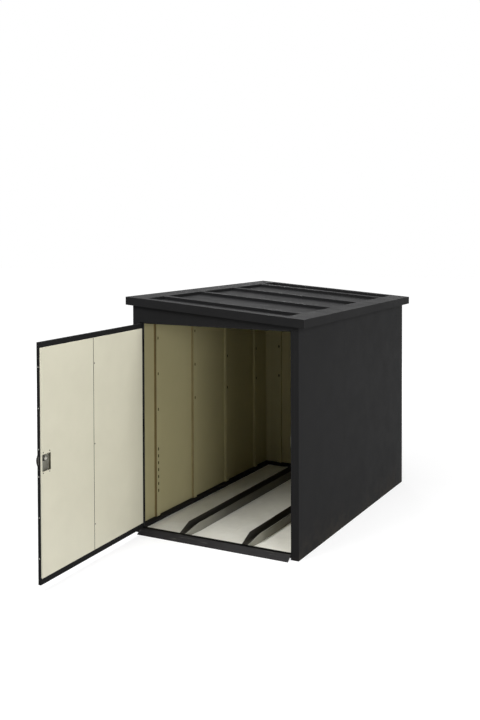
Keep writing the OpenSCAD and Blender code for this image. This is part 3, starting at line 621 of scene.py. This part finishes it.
def zinc_plate():
    """Zinc-plated steel with brushing and dull patches."""
    return single_tone("zinc_plated_steel", "zinc", 0.18, 0.35, (0.28, 0.42), metallic=0.9,
                       scuffs=((400.0, 400.0, 30.0), 0.5), Peel_Scale=1400.0, Wave_Depth=0.00003)


def bright_zinc():
    """Fresh, bright plating of small parts."""
    return single_tone("bright_zinc", "bright_zinc", 0.12, 0.40, (0.34, 0.50), metallic=0.4,
                       Peel_Scale=1800.0, Wave_Depth=0.00001)


def oiled_steel():
    """Phosphated steel with a film of oil."""
    return single_tone("oiled_steel", "oiled_steel", 0.25, 0.5, (0.42, 0.60), metallic=0.3,
                       Peel_Scale=1200.0, Wave_Depth=0.00002)


def black_enamel():
    """Satin black enamel, rubbed by hands."""
    return single_tone("black_enamel", "black_enamel", 0.2, 0.40, (0.34, 0.46), specular=0.015,
                       scuffs=((90.0, 90.0, 300.0), 0.4), Wave_Depth=0.00002)


def seal_rubber():
    """Matt black rubber with bloom."""
    return single_tone("seal_rubber", "rubber", 0.35, 0.75, (0.65, 0.85), specular=0.3,
                       Peel_Scale=1500.0, Peel_Depth=0.00004)


def slot_shade():
    """The dark seen through a punched slot."""
    return single_tone("slot_shade", "slot_dark", 0.3, 0.9, (0.85, 0.95), specular=0.1,
                       bump=False, Peel_Scale=600.0)


def seam_sealant():
    """Brown painted shade on the seam beads, matt and slightly uneven, giving way to the walls'
    cream near the rear as painted light.
    """
    coat = Finish("seam_sealant", 0.7, specular=0.1, Peel_Scale=500.0, Peel_Depth=0.00006)
    rear = toward_rear(coat, coat.split(coat.place))
    # Painted shade near the doorway, giving way to the walls' cream near the rear as painted light
    tone = coat.mix(rear, coat.mottled("sealant", 0.2), coat.colours.wall_cream_shaded)
    return coat.close(tone, (0.6, 0.8))


FINISHES = {build.__name__: build for build in (
    dark_paint, sill_coat, lining_coat, door_sheet, wall_sheet, strip_sheet, floor_coat,
    channel_coat, zinc_plate, bright_zinc, oiled_steel, black_enamel, seal_rubber, slot_shade,
    seam_sealant)}
made_finishes = {}


def finish(name):
    """The named finish, built on first use."""
    if name not in made_finishes:
        made_finishes[name] = FINISHES[name]()
    return made_finishes[name]


def dress(nodes, name):
    """Gives CAD nodes that finish."""
    for node in nodes:
        mesh = NODES[node].data
        mesh.materials.clear()
        mesh.materials.append(finish(name))


def nodes_with(*words):
    """CAD nodes whose names hold one of the words."""
    return [n for n in sorted(NODES) if any(w in n for w in words)]


# Geometry node trees for rows of fasteners


class RowTree(Group):
    """A geometry node tree that sets one small shape along a straight row."""

    def __init__(self, name, *sizes):
        super().__init__(name, "GeometryNodeTree",
                         [("Geometry", "Geometry"), ("First", "Vector"), ("Step", "Vector"),
                          ("Count", "Int"), ("Turn", "Vector"), ("Finish", "Material"), *sizes],
                         [("Geometry", "Geometry")])

    def shape(self, kind, **values):
        """The first result of a geometry node."""
        return self.node(f"GeometryNode{kind}", **values).outputs[0]

    def joined(self, *shapes):
        """All the shapes in one geometry."""
        node = self.tree.nodes.new("GeometryNodeJoinGeometry")
        for shape in reversed(shapes):
            self.tree.links.new(shape, node.inputs[0])
        return node.outputs[0]

    def painted(self, shape, material):
        """The shape with a material."""
        return self.shape("SetMaterial", Geometry=shape, Material=material)

    def close(self, shape):
        """Sets the shape along the row and realizes it; returns the tree."""
        line = self.shape("MeshLine", mode="OFFSET", Count=self.into["Count"],
                          Start_Location=self.into["First"], Offset=self.into["Step"])
        turn = self.node("FunctionNodeEulerToRotation", Euler=self.into["Turn"]).outputs[0]
        rows = self.shape("InstanceOnPoints", Points=line, Instance=shape, Rotation=turn)
        self.feed(self.out[0], self.shape("RealizeInstances", Geometry=rows))
        return self.tree


def rivet_row():
    """Flat rivet heads, low enough for the gap between the door and the post."""
    rows = RowTree("rivet_row", ("Radius", "Float"))
    radius = rows.into["Radius"]
    ball = rows.shape("MeshUVSphere", Segments=20, Rings=12, Radius=radius)
    dome = rows.shape("Transform", Geometry=ball, Scale=(1, 1, 0.13))
    brim = rows.shape("MeshCylinder", Vertices=24, Radius=rows.times(radius, 1.12),
                      Depth=rows.times(radius, 0.16))
    return rows.close(rows.painted(rows.joined(dome, brim), rows.into["Finish"]))


def screw_row():
    """Pan heads with a cross recess, low ones for countersunk screws."""
    rows = RowTree("screw_row", ("Radius", "Float"), ("Height", "Float"))
    radius = rows.into["Radius"]
    height = rows.into["Height"]
    ball = rows.shape("MeshUVSphere", Segments=24, Rings=12, Radius=radius)
    squash = rows.maths("DIVIDE", height, radius)
    head = rows.shape("Transform", Geometry=ball, Scale=rows.vector(1.0, 1.0, squash))
    long_side = rows.times(radius, 1.15)
    short_side = rows.times(radius, 0.26)
    deep = rows.times(height, 1.25)
    bars = [rows.shape("MeshCube", Size=rows.vector(*size))
            for size in ((long_side, short_side, deep), (short_side, long_side, deep))]
    cross = rows.shape("Transform", Geometry=rows.joined(*bars),
                       Translation=rows.vector(0.0, 0.0, deep))
    cut = rows.shape("MeshBoolean", operation="DIFFERENCE", Mesh_1=head, Mesh_2=cross)
    return rows.close(rows.painted(cut, rows.into["Finish"]))


def bead_row():
    """Half-round beads that stand upright, put along the wall seams as painted shade."""
    rows = RowTree("bead_row", ("Width", "Float"), ("Length", "Float"))
    line = rows.shape("CurvePrimitiveLine", End=rows.vector(0.0, rows.into["Length"], 0.0))
    ring = rows.shape("CurvePrimitiveCircle", Resolution=12,
                      Radius=rows.times(rows.into["Width"], 0.5))
    tube = rows.shape("CurveToMesh", Curve=line, Profile_Curve=ring, Fill_Caps=True)
    flat = rows.shape("Transform", Geometry=tube, Scale=(1, 1, 0.5))
    return rows.close(rows.painted(flat, rows.into["Finish"]))


def slot_row():
    """Punched upright slots: a pressed rim round a dark opening."""
    rows = RowTree("slot_row", ("Width", "Float"), ("Height", "Float"), ("Rim", "Float"),
                   ("Shade", "Material"))
    width, rim = rows.into["Width"], rows.into["Rim"]
    box = rows.shape("CurvePrimitiveQuadrilateral", Width=width, Height=rows.into["Height"])
    mouth = rows.shape("FilletCurve", mode="POLY", Curve=box, Count=5,
                       Radius=rows.times(width, 0.49))
    ring = rows.shape("CurvePrimitiveCircle", Resolution=8, Radius=rim)
    edge = rows.shape("CurveToMesh", Curve=mouth, Profile_Curve=ring)
    fill = rows.shape("FillCurve", Curve=mouth)
    plug = rows.shape("ExtrudeMesh", Mesh=fill, Offset_Scale=rows.times(rim, 0.4))
    shade = rows.painted(rows.joined(fill, plug), rows.into["Shade"])
    return rows.close(rows.joined(rows.painted(edge, rows.into["Finish"]), shade))


ROWS = {build.__name__: build for build in (rivet_row, screw_row, bead_row, slot_row)}


def row_mesh(kind, first, step, count, normal, coat, **sizes):
    """The mesh of one row from its geometry node tree, with the heads facing the normal."""
    tree = bpy.data.node_groups.get(kind) or ROWS[kind]()
    carrier = bpy.data.objects.new("row_carrier", bpy.data.meshes.new("row_carrier"))
    bpy.context.scene.collection.objects.link(carrier)
    modifier = carrier.modifiers.new("Row", "NODES")
    modifier.node_group = tree
    values = {"First": tuple(first), "Step": tuple(step), "Count": count,
              "Turn": tuple(facing(normal)), "Finish": finish(coat), **sizes}
    for item in tree.interface.items_tree:
        if item.item_type == "SOCKET" and item.in_out == "INPUT" and item.name in values:
            modifier[item.identifier] = values[item.name]
    view = bpy.context.evaluated_depsgraph_get()
    mesh = bpy.data.meshes.new_from_object(carrier.evaluated_get(view), depsgraph=view)
    bpy.data.objects.remove(carrier)
    return mesh


def add_piece(name, shape, materials, body):
    """One object from a bmesh, riding on a body."""
    mesh = bpy.data.meshes.new(name)
    shape.to_mesh(mesh)
    shape.free()
    for material in materials:
        mesh.materials.append(material)
    mesh.set_sharp_from_angle(angle=SHARP_EDGE)
    piece = bpy.data.objects.new(name, mesh)
    bpy.context.scene.collection.objects.link(piece)
    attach(piece, body)


def join_rows(name, meshes, body):
    """One object from several row meshes."""
    joined = bmesh.new()
    materials = []
    for mesh in meshes:
        start = len(joined.faces)
        joined.from_mesh(mesh)
        joined.faces.ensure_lookup_table()
        for face in joined.faces[start:]:
            material = mesh.materials[face.material_index]
            if material not in materials:
                materials.append(material)
            face.material_index = materials.index(material)
            face.smooth = True
    add_piece(name, joined, materials, body)


def bridge(shape, rings):
    """Faces from each ring of vertices to the next."""
    for low, high in zip(rings, rings[1:]):
        for i in range(len(low)):
            j = (i + 1) % len(low)
            shape.faces.new((low[i], low[j], high[j], high[i]))


def turned(name, radius, profile, sides, place, axis, body, coat):
    """A turned piece: profile rows are the change of radius and the height, in millimetres."""
    shape = bmesh.new()
    turn = facing(axis).to_matrix()
    rings = []
    for change, height in profile:
        reach = radius + change * MM
        spots = [Vector((reach * math.cos(math.tau * i / sides),
                         reach * math.sin(math.tau * i / sides), height * MM))
                 for i in range(sides)]
        rings.append([shape.verts.new(turn @ spot + place) for spot in spots])
    bridge(shape, rings)
    shape.faces.new(list(reversed(rings[0])))
    shape.faces.new(rings[-1])
    bmesh.ops.recalc_face_normals(shape, faces=shape.faces)
    add_piece(name, shape, [finish(coat)], body)


# Operators: coatings


class CoatFrame(bpy.types.Operator):
    """Dark powder coat on the base, the posts and the header; on the threshold, painted light on
    its ramp and painted shade on its flat
    """
    bl_idname = "shelter.coat_frame"
    bl_label = "Coat the frame"

    def execute(self, context):
        dress(nodes_with("base_rail", "front_post", "header"), "dark_paint")
        dress(["threshold"], "sill_coat")
        dress(["door_seal"], "seal_rubber")
        return {"FINISHED"}


class CoatWalls(bpy.types.Operator):
    """Dark outside and cream inside on the wall panels, cream on the joint strips"""
    bl_idname = "shelter.coat_walls"
    bl_label = "Coat the walls"

    def execute(self, context):
        dress(nodes_with("wall_panel", "corner"), "wall_sheet")
        dress(nodes_with("joint_strips"), "strip_sheet")
        return {"FINISHED"}


class CoatRoof(bpy.types.Operator):
    """Dark powder coat on the roof's trays, ribs and borders, zinc on its bearers"""
    bl_idname = "shelter.coat_roof"
    bl_label = "Coat the roof"

    def execute(self, context):
        dress(nodes_with("roof_tray", "roof_ribs", "roof_border"), "dark_paint")
        dress(["roof_bearers"], "zinc_plate")
        return {"FINISHED"}


class CoatFloor(bpy.types.Operator):
    """Pale coat on the floor panels and a grey one on the wheel channels"""
    bl_idname = "shelter.coat_floor"
    bl_label = "Coat the floor"

    def execute(self, context):
        dress(nodes_with("floor_panel"), "floor_coat")
        dress(nodes_with("wheel_channel"), "channel_coat")
        return {"FINISHED"}


class CoatDoor(bpy.types.Operator):
    """Dark skin and hinges, cream lining, plated lock, black handle"""
    bl_idname = "shelter.coat_door"
    bl_label = "Coat the door"

    def execute(self, context):
        dress(["door_skin"], "door_sheet")
        dress(nodes_with("door_lining"), "lining_coat")
        dress(["frame_hinge_leaves", "door_hinge_leaves"], "dark_paint")
        dress(["hinge_pins", "strike_plate", "lock_case", "rod_guides", "key_cylinder"],
              "zinc_plate")
        dress(["lock_cam", "top_rod", "bottom_rod", "side_bolt"], "oiled_steel")
        dress(["handle", "handle_escutcheon"], "black_enamel")
        return {"FINISHED"}


# Operators: slots of the walls, and beads of painted shade in their seams

# Heights of the lowest slots, and how far a row stands from its strip's edge
STRIP_SLOT_LOW = 0.799
RACK_LOW = 0.217
SLOT_FROM_STRIP = 0.022
SLOTS_IN_STRIP = 3
SLOT_RIM = 0.15 * MM

# Depth of the wall panels' folds, where their seam lies, and half the width of a joint strip
FOLD_DEPTH = 13 * MM
STRIP_HALF_WIDTH = 50 * MM

# Least distance between the edges of two strips
STRIP_SPACING = 0.1

# Each side wall, with the way its inside faces
SIDE_WALLS = (("left", 1), ("right", -1))


def strip_edges(node, axis):
    """The lower edge of each strip in a node, along that axis, in order."""
    index = "xyz".index(axis)
    spots = sorted({round(v.co[index], 4) for v in NODES[node].data.vertices})
    edges = [spots[0]]
    for before, after in zip(spots, spots[1:]):
        if after - before > STRIP_SPACING:
            edges.append(after)
    return edges


class PunchStripSlots(bpy.types.Operator):
    """Punched slots in the joint strips of the side walls and the rear wall"""
    bl_idname = "shelter.punch_strip_slots"
    bl_label = "Punch the strip slots"

    def execute(self, context):
        sizes = context.scene.shelter_fasteners
        common = {"Rim": SLOT_RIM, "Shade": finish("slot_shade")}
        tall = {"Width": sizes.slot_width, "Height": sizes.slot_height, **common}
        small = {"Width": sizes.rack_slot_width, "Height": sizes.rack_slot_height, **common}
        step = (0, 0, sizes.slot_pitch)
        meshes = []
        for wall, sign in SIDE_WALLS:
            strips = f"{wall}_joint_strips"
            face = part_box(strips)[1 if sign > 0 else 0].x
            for index, edge in enumerate(strip_edges(strips, "y")):
                y = edge + SLOT_FROM_STRIP
                meshes.append(row_mesh("slot_row", (face, y, STRIP_SLOT_LOW), step,
                                       SLOTS_IN_STRIP, (sign, 0, 0), "strip_sheet", **tall))
                if index == 0:
                    meshes.append(row_mesh("slot_row", (face, y, RACK_LOW),
                                           (0, 0, sizes.rack_pitch), sizes.rack_count,
                                           (sign, 0, 0), "strip_sheet", **small))
        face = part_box("rear_joint_strips")[0].y
        for edge in strip_edges("rear_joint_strips", "x"):
            meshes.append(row_mesh("slot_row", (edge + SLOT_FROM_STRIP, face, STRIP_SLOT_LOW),
                                   step, SLOTS_IN_STRIP, (0, -1, 0), "strip_sheet", **tall))
        join_rows("strip_slots", meshes, "shell")
        return {"FINISHED"}


class SealSeams(bpy.types.Operator):
    """Bead of painted shade along the folds where two wall panels meet"""
    bl_idname = "shelter.seal_seams"
    # The beads put painted shade in the seams of the walls
    bl_label = "Seal the seams"

    def execute(self, context):
        width = context.scene.shelter_fasteners.bead_width
        meshes = []
        for wall, sign in SIDE_WALLS:
            low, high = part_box(f"{wall}_joint_strips")
            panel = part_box(f"{wall}_wall_panel_1")
            first = panel[0].y
            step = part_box(f"{wall}_wall_panel_2")[0].y - first
            outer = panel[0 if sign > 0 else 1].x
            meshes.append(row_mesh("bead_row", (outer + sign * FOLD_DEPTH, first, low.z),
                                   (0, step, 0), 4, (sign, 0, 0), "seam_sealant",
                                   Width=width, Length=high.z - low.z))
        near, far = (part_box(f"rear_wall_panel_{number}") for number in (1, 2))
        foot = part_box("rear_joint_strips")[0].z
        edges = strip_edges("rear_joint_strips", "x")
        for seam, edge in zip((near[0].x, far[0].x, far[1].x), edges):
            top = max(v.co.z for v in NODES["rear_joint_strips"].data.vertices
                      if abs(v.co.x - edge) < STRIP_HALF_WIDTH)
            meshes.append(row_mesh("bead_row", (seam, near[1].y - FOLD_DEPTH, foot), (0, 0, 0), 1,
                                   (0, -1, 0), "seam_sealant", Width=width,
                                   Length=top - foot))
        join_rows("seam_beads", meshes, "shell")
        return {"FINISHED"}


# Operators: fasteners and lock trim, placed on the closed door and turned open with it

# Rivets in the free edge: the lowest below and above the lock, three in each row
EDGE_RIVET_LOW = (0.194, 0.826)
EDGE_RIVET_STEP = 0.237

# Lining screws: three along the seam, and two on each side of the lock's cut-out
SEAM_SCREW_INSET = 7.5 * MM
SEAM_SCREW_LOW = 0.243
SEAM_SCREW_STEP = 0.505
CUT_OUT_SCREW_INSETS = (15 * MM, 74 * MM)
CUT_OUT_SCREW_LOW = 0.688
CUT_OUT_SCREW_STEP = 0.120
CUT_OUT_SCREW_SCALE = 0.9

# Countersunk screws of the hinge leaves and the strike plate; hinges stand further apart than
# the spacing
HINGE_SPACING = 0.2
LEAF_THICKNESS = 1.2 * MM
LEAF_SCREW_INSET = 9 * MM
LEAF_SCREW_STEP = 32 * MM
STRIKE_SCREW_INSET = 8 * MM
COUNTERSUNK_HEIGHT = 0.2 * MM

# Screws of the lock case's cover, and rivets in the header's stop
CASE_SCREW_INSET = 7 * MM
CASE_SCREW_RADIUS = 2.6 * MM
STOP_RIVET_RADIUS = 2.8 * MM
STOP_RIVET_FROM_POST = 9 * MM
STOP_RIVET_FROM_REAR = 1.5 * MM
STOP_RIVET_RISE = 5 * MM

# Washer and nut on the spindle: change of radius and height of each ring, in millimetres
WASHER_PROFILE = ((-0.3, 0), (0, 0.3), (0, 1.3), (-0.3, 1.6))
NUT_PROFILE = ((-0.5, 0), (0, 0.5), (0, 4.3), (-0.8, 5.0), (-3.0, 5.2))
WASHER_SIDES = 40
NUT_TO_WASHER = 0.68
NUT_SIDES = 6
WASHER_GAP = 0.3 * MM

# Face round the side bolt's mouth
LOCK_FACE_HALF_WIDTH = 4.4 * MM
LOCK_FACE_BELOW = 6 * MM
LOCK_FACE_ABOVE = 24 * MM
LOCK_FACE_LIFT = 0.25 * MM
LOCK_FACE_RIM_LIFT = 0.15 * MM
LOCK_FACE_BEVEL = 0.3 * MM
BOLT_PLAY = 0.6 * MM


def pan_head(radius):
    """Sizes of a pan head screw."""
    return {"Radius": radius, "Height": 0.4 * radius}


def hinge_middles():
    """Heights of the hinges' middles, from the pins."""
    heights = sorted({round(v.co.z, 3) for v in NODES["hinge_pins"].data.vertices})
    groups = [[heights[0]]]
    for height in heights[1:]:
        if height - groups[-1][-1] > HINGE_SPACING:
            groups.append([])
        groups[-1].append(height)
    return [(group[0] + group[-1]) / 2 for group in groups]


class SetDoorRivets(bpy.types.Operator):
    """Rivets in the door's free edge, above and below the lock"""
    bl_idname = "shelter.set_door_rivets"
    bl_label = "Set the door rivets"

    def execute(self, context):
        low, high = closed_box("door_skin")
        middle = (low.y + high.y) / 2
        meshes = [row_mesh("rivet_row", opened((high.x, middle, start)), (0, 0, EDGE_RIVET_STEP),
                           3, DOOR_FREE_SIDE, "zinc_plate",
                           Radius=context.scene.shelter_fasteners.rivet_radius)
                  for start in EDGE_RIVET_LOW]
        join_rows("door_edge_rivets", meshes, "door")
        return {"FINISHED"}


class SetLiningScrews(bpy.types.Operator):
    """Screws along the lining's seam and on both sides of the lock's cut-out"""
    bl_idname = "shelter.set_lining_screws"
    bl_label = "Set the lining screws"

    def execute(self, context):
        radius = context.scene.shelter_fasteners.screw_radius
        seam = closed_box("door_lining_hinge_side")[1]
        free = closed_box("door_lining_lock_side")[1]
        first = opened((seam.x - SEAM_SCREW_INSET, seam.y, SEAM_SCREW_LOW))
        meshes = [row_mesh("screw_row", first, (0, 0, SEAM_SCREW_STEP), 3, DOOR_INWARD,
                           "oiled_steel", **pan_head(radius))]
        for inset in CUT_OUT_SCREW_INSETS:
            first = opened((free.x - inset, seam.y, CUT_OUT_SCREW_LOW))
            meshes.append(row_mesh("screw_row", first, (0, 0, CUT_OUT_SCREW_STEP), 2, DOOR_INWARD,
                                   "oiled_steel", **pan_head(CUT_OUT_SCREW_SCALE * radius)))
        join_rows("lining_screws", meshes, "door")
        return {"FINISHED"}


class SetHingeScrews(bpy.types.Operator):
    """Countersunk screws in both leaves of each hinge and in the strike plate"""
    bl_idname = "shelter.set_hinge_screws"
    bl_label = "Set the hinge screws"

    def execute(self, context):
        head = {"Radius": context.scene.shelter_fasteners.plate_screw_radius,
                "Height": COUNTERSUNK_HEIGHT}
        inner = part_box("frame_hinge_leaves")[1].y
        across = inner - LEAF_SCREW_INSET
        door_face = closed_box("door_hinge_leaves")[0].x
        frame_face = LEAF_THICKNESS + min(v.co.x for v in NODES["frame_hinge_leaves"].data.vertices
                                          if v.co.y > inner - 1 * MM)
        step = (0, 0, LEAF_SCREW_STEP)
        fixed, swinging = [], []
        for middle in hinge_middles():
            start = middle - LEAF_SCREW_STEP
            fixed.append(row_mesh("screw_row", (frame_face, across, start), step, 3, (1, 0, 0),
                                  "zinc_plate", **head))
            swinging.append(row_mesh("screw_row", opened((door_face, across, start)), step, 3,
                                     -DOOR_FREE_SIDE, "zinc_plate", **head))
        low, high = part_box("strike_plate")
        first = (low.x, (low.y + high.y) / 2, low.z + STRIKE_SCREW_INSET)
        fixed.append(row_mesh("screw_row", first,
                              (0, 0, high.z - low.z - 2 * STRIKE_SCREW_INSET), 2, (-1, 0, 0),
                              "zinc_plate", **head))
        join_rows("frame_plate_screws", fixed, "shell")
        join_rows("door_hinge_screws", swinging, "door")
        return {"FINISHED"}


class SetCaseScrews(bpy.types.Operator):
    """Screws in the lock case's cover and rivets at the ends of the header's stop"""
    bl_idname = "shelter.set_case_screws"
    bl_label = "Set the case screws"

    def execute(self, context):
        low, high = closed_box("lock_case")
        inset = CASE_SCREW_INSET
        meshes = [row_mesh("screw_row", opened((x, high.y, low.z + inset)),
                           (0, 0, high.z - low.z - 2 * inset), 2, DOOR_INWARD, "bright_zinc",
                           **pan_head(CASE_SCREW_RADIUS))
                  for x in (low.x + inset, high.x - inset)]
        join_rows("case_screws", meshes, "door")
        low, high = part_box("header")
        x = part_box("front_post_right")[0].x - STOP_RIVET_FROM_POST
        ends = [row_mesh("rivet_row",
                         (side * x, high.y - STOP_RIVET_FROM_REAR, low.z + STOP_RIVET_RISE),
                         (0, 0, 0), 1, (0, -1, 0), "bright_zinc", Radius=STOP_RIVET_RADIUS)
                for side in (-1, 1)]
        join_rows("stop_rivets", ends, "shell")
        return {"FINISHED"}


class FitSpindleNut(bpy.types.Operator):
    """Washer and hexagon nut on the inner end of the handle's spindle"""
    bl_idname = "shelter.fit_spindle_nut"
    bl_label = "Fit the spindle nut"

    def execute(self, context):
        radius = context.scene.shelter_fasteners.washer_radius
        axis = closed(HANDLE_AXIS)
        seat = opened((axis.x, closed_box("lock_case")[1].y + WASHER_GAP, axis.z))
        turned("spindle_washer", radius, WASHER_PROFILE, WASHER_SIDES, seat, DOOR_INWARD,
               "handle", "bright_zinc")
        top = seat + DOOR_INWARD * (WASHER_PROFILE[-1][1] * MM)
        turned("spindle_nut", NUT_TO_WASHER * radius, NUT_PROFILE, NUT_SIDES, top, DOOR_INWARD,
               "handle", "bright_zinc")
        return {"FINISHED"}


class FitLockFace(bpy.types.Operator):
    """Dark plate on the door's free edge, with the mouth for the side bolt"""
    bl_idname = "shelter.fit_lock_face"
    bl_label = "Fit the lock face"

    def execute(self, context):
        low, high = closed_box("side_bolt")
        edge = closed_box("door_skin")[1].x
        middle = (low.y + high.y) / 2
        outer = (middle - LOCK_FACE_HALF_WIDTH, middle + LOCK_FACE_HALF_WIDTH,
                 low.z - LOCK_FACE_BELOW, high.z + LOCK_FACE_ABOVE)
        mouth = (low.y - BOLT_PLAY, high.y + BOLT_PLAY, low.z - BOLT_PLAY, high.z + BOLT_PLAY)
        shape = bmesh.new()
        rings = []
        for (y0, y1, z0, z1), shrink, lift in (
                (outer, 0, 0), (outer, 0, LOCK_FACE_RIM_LIFT),
                (outer, LOCK_FACE_BEVEL, LOCK_FACE_LIFT), (mouth, 0, LOCK_FACE_LIFT),
                (mouth, 0, 0)):
            corners = ((y0 + shrink, z0 + shrink), (y1 - shrink, z0 + shrink),
                       (y1 - shrink, z1 - shrink), (y0 + shrink, z1 - shrink))
            rings.append([shape.verts.new(opened((edge + lift, y, z))) for y, z in corners])
        bridge(shape, rings + rings[:1])
        bmesh.ops.recalc_face_normals(shape, faces=shape.faces)
        add_piece("lock_face", shape, [finish("oiled_steel")], "door")
        return {"FINISHED"}


# Operators: stage

# Light of the surround that falls on the shelter; seen directly it is white
AMBIENT_STRENGTH = 0.16

# Half the floor's side, and its grey for the light that falls on it. Its glow rises from 0.72
# at 2.5 m to white at 6 m, so that the floor is white and still holds the shelter's shadow
FLOOR_REACH = 30.0
FLOOR_GREY = (0.35, 0.35, 0.35)
FLOOR_GLOW = (2.5, 6.0, 0.72, 1.0)

# Name, place, side and power of each lamp, and the point they all face
SOFTBOXES = (
    ("overhead_softbox", (0.0, -1.0, 6.0), 4.0, 240),
    ("right_softbox", (6.0, -0.8, 4.6), 2.2, 170),
    ("front_softbox", (5.6, -5.2, 1.7), 2.5, 230),
    ("high_softbox", (-1.5, -4.2, 5.0), 2.5, 210),
    ("rear_softbox", (-3.6, 6.4, 1.0), 2.0, 260),
)
LAMP_TARGET = Vector((0, 0, 0.8))

# Width in millimetres that the camera's focal length goes with
SENSOR_WIDTH = 36.0


def seen_directly(nodes):
    """1 for camera, glossy and transmission rays, else 0."""
    path = nodes.node("ShaderNodeLightPath").outputs
    seen = nodes.maths("MAXIMUM", path["Is Camera Ray"], path["Is Glossy Ray"])
    return nodes.maths("MAXIMUM", seen, path["Is Transmission Ray"])


class BuildStage(bpy.types.Operator):
    """White floor and surround, soft lamps and the camera"""
    bl_idname = "shelter.build_stage"
    bl_label = "Build the stage"

    def execute(self, context):
        self.build_world(context)
        self.build_floor(context)
        self.build_lamps(context)
        self.build_camera(context)
        context.scene.view_settings.view_transform = "Standard"
        return {"FINISHED"}

    def build_world(self, context):
        world = bpy.data.worlds.new("studio_surround")
        world.use_nodes = True
        nodes = Nodes(world.node_tree)
        background = nodes.tree.nodes["Background"].inputs
        nodes.feed(background["Color"], (1, 1, 1))
        nodes.feed(background["Strength"],
                   nodes.remap(seen_directly(nodes), 0.0, 1.0, AMBIENT_STRENGTH, 1.0))
        context.scene.world = world

    def build_floor(self, context):
        mesh = bpy.data.meshes.new("studio_floor")
        corners = [(x * FLOOR_REACH, y * FLOOR_REACH, 0)
                   for x, y in ((-1, -1), (1, -1), (1, 1), (-1, 1))]
        mesh.from_pydata(corners, [], [(0, 1, 2, 3)])
        floor = bpy.data.objects.new("studio_floor", mesh)
        context.scene.collection.objects.link(floor)
        material = bpy.data.materials.new("studio_floor")
        material.use_nodes = True
        nodes = Nodes(material.node_tree)
        nodes.tree.nodes.clear()
        place = nodes.node("ShaderNodeTexCoord").outputs["Object"]
        glow = nodes.remap(nodes.vector_maths("LENGTH", place, result="Value"), *FLOOR_GLOW)
        matt = nodes.node("ShaderNodeBsdfDiffuse", Color=FLOOR_GREY)
        white = nodes.node("ShaderNodeEmission", Strength=nodes.times(seen_directly(nodes), glow))
        both = nodes.node("ShaderNodeAddShader", matt.outputs[0], white.outputs[0])
        nodes.node("ShaderNodeOutputMaterial", Surface=both.outputs[0])
        mesh.materials.append(material)

    def build_lamps(self, context):
        for name, place, side, power in SOFTBOXES:
            data = bpy.data.lights.new(name, "AREA")
            data.shape = "SQUARE"
            data.size = side
            data.energy = power
            lamp = bpy.data.objects.new(name, data)
            lamp.location = place
            lamp.rotation_euler = (LAMP_TARGET - Vector(place)).to_track_quat("-Z", "Y").to_euler()
            context.scene.collection.objects.link(lamp)

    def build_camera(self, context):
        view = context.scene.shelter_view
        data = bpy.data.cameras.new("photo_camera")
        data.lens = view.lens
        data.sensor_width = SENSOR_WIDTH
        data.shift_x = view.shift_x
        data.shift_y = view.shift_y
        camera = bpy.data.objects.new("photo_camera", data)
        right = Vector((math.cos(view.yaw), math.sin(view.yaw), 0))
        ahead = Vector((-math.sin(view.yaw) * math.cos(view.pitch),
                        math.cos(view.yaw) * math.cos(view.pitch), -math.sin(view.pitch)))
        turn = Matrix((right, right.cross(ahead), -ahead)).transposed().to_4x4()
        camera.matrix_world = (Matrix.Translation(view.place) @ turn
                               @ Matrix.Rotation(view.roll, 4, "Z"))
        context.scene.collection.objects.link(camera)
        context.scene.camera = camera


class ShelterPanel(bpy.types.Panel):
    """Buttons and sizes of the shelter's finishes"""
    bl_idname = "VIEW3D_PT_shelter"
    bl_label = "Bicycle shelter"
    bl_space_type = "VIEW_3D"
    bl_region_type = "UI"
    bl_category = "Shelter"

    def draw(self, context):
        layout = self.layout
        for group in (context.scene.shelter_colours, context.scene.shelter_fasteners,
                      context.scene.shelter_view):
            box = layout.box()
            for name in group.__annotations__:
                box.prop(group, name)
        for step in STEPS:
            layout.operator(step.bl_idname)


STEPS = (CoatFrame, CoatWalls, CoatRoof, CoatFloor, CoatDoor, PunchStripSlots, SealSeams,
         SetDoorRivets, SetLiningScrews, SetHingeScrews, SetCaseScrews, FitSpindleNut, FitLockFace,
         BuildStage)
SETTINGS = (ShelterColours, ShelterFasteners, ShelterView)


def register():
    for cls in (*SETTINGS, *STEPS, ShelterPanel):
        bpy.utils.register_class(cls)
    bpy.types.Scene.shelter_colours = PointerProperty(type=ShelterColours)
    bpy.types.Scene.shelter_fasteners = PointerProperty(type=ShelterFasteners)
    bpy.types.Scene.shelter_view = PointerProperty(type=ShelterView)


def unregister():
    del bpy.types.Scene.shelter_view
    del bpy.types.Scene.shelter_fasteners
    del bpy.types.Scene.shelter_colours
    for cls in reversed((*SETTINGS, *STEPS, ShelterPanel)):
        bpy.utils.unregister_class(cls)


def main():
    register()
    for step in STEPS:
        family, name = step.bl_idname.split(".")
        getattr(getattr(bpy.ops, family), name)()


if __name__ == "__main__":
    main()
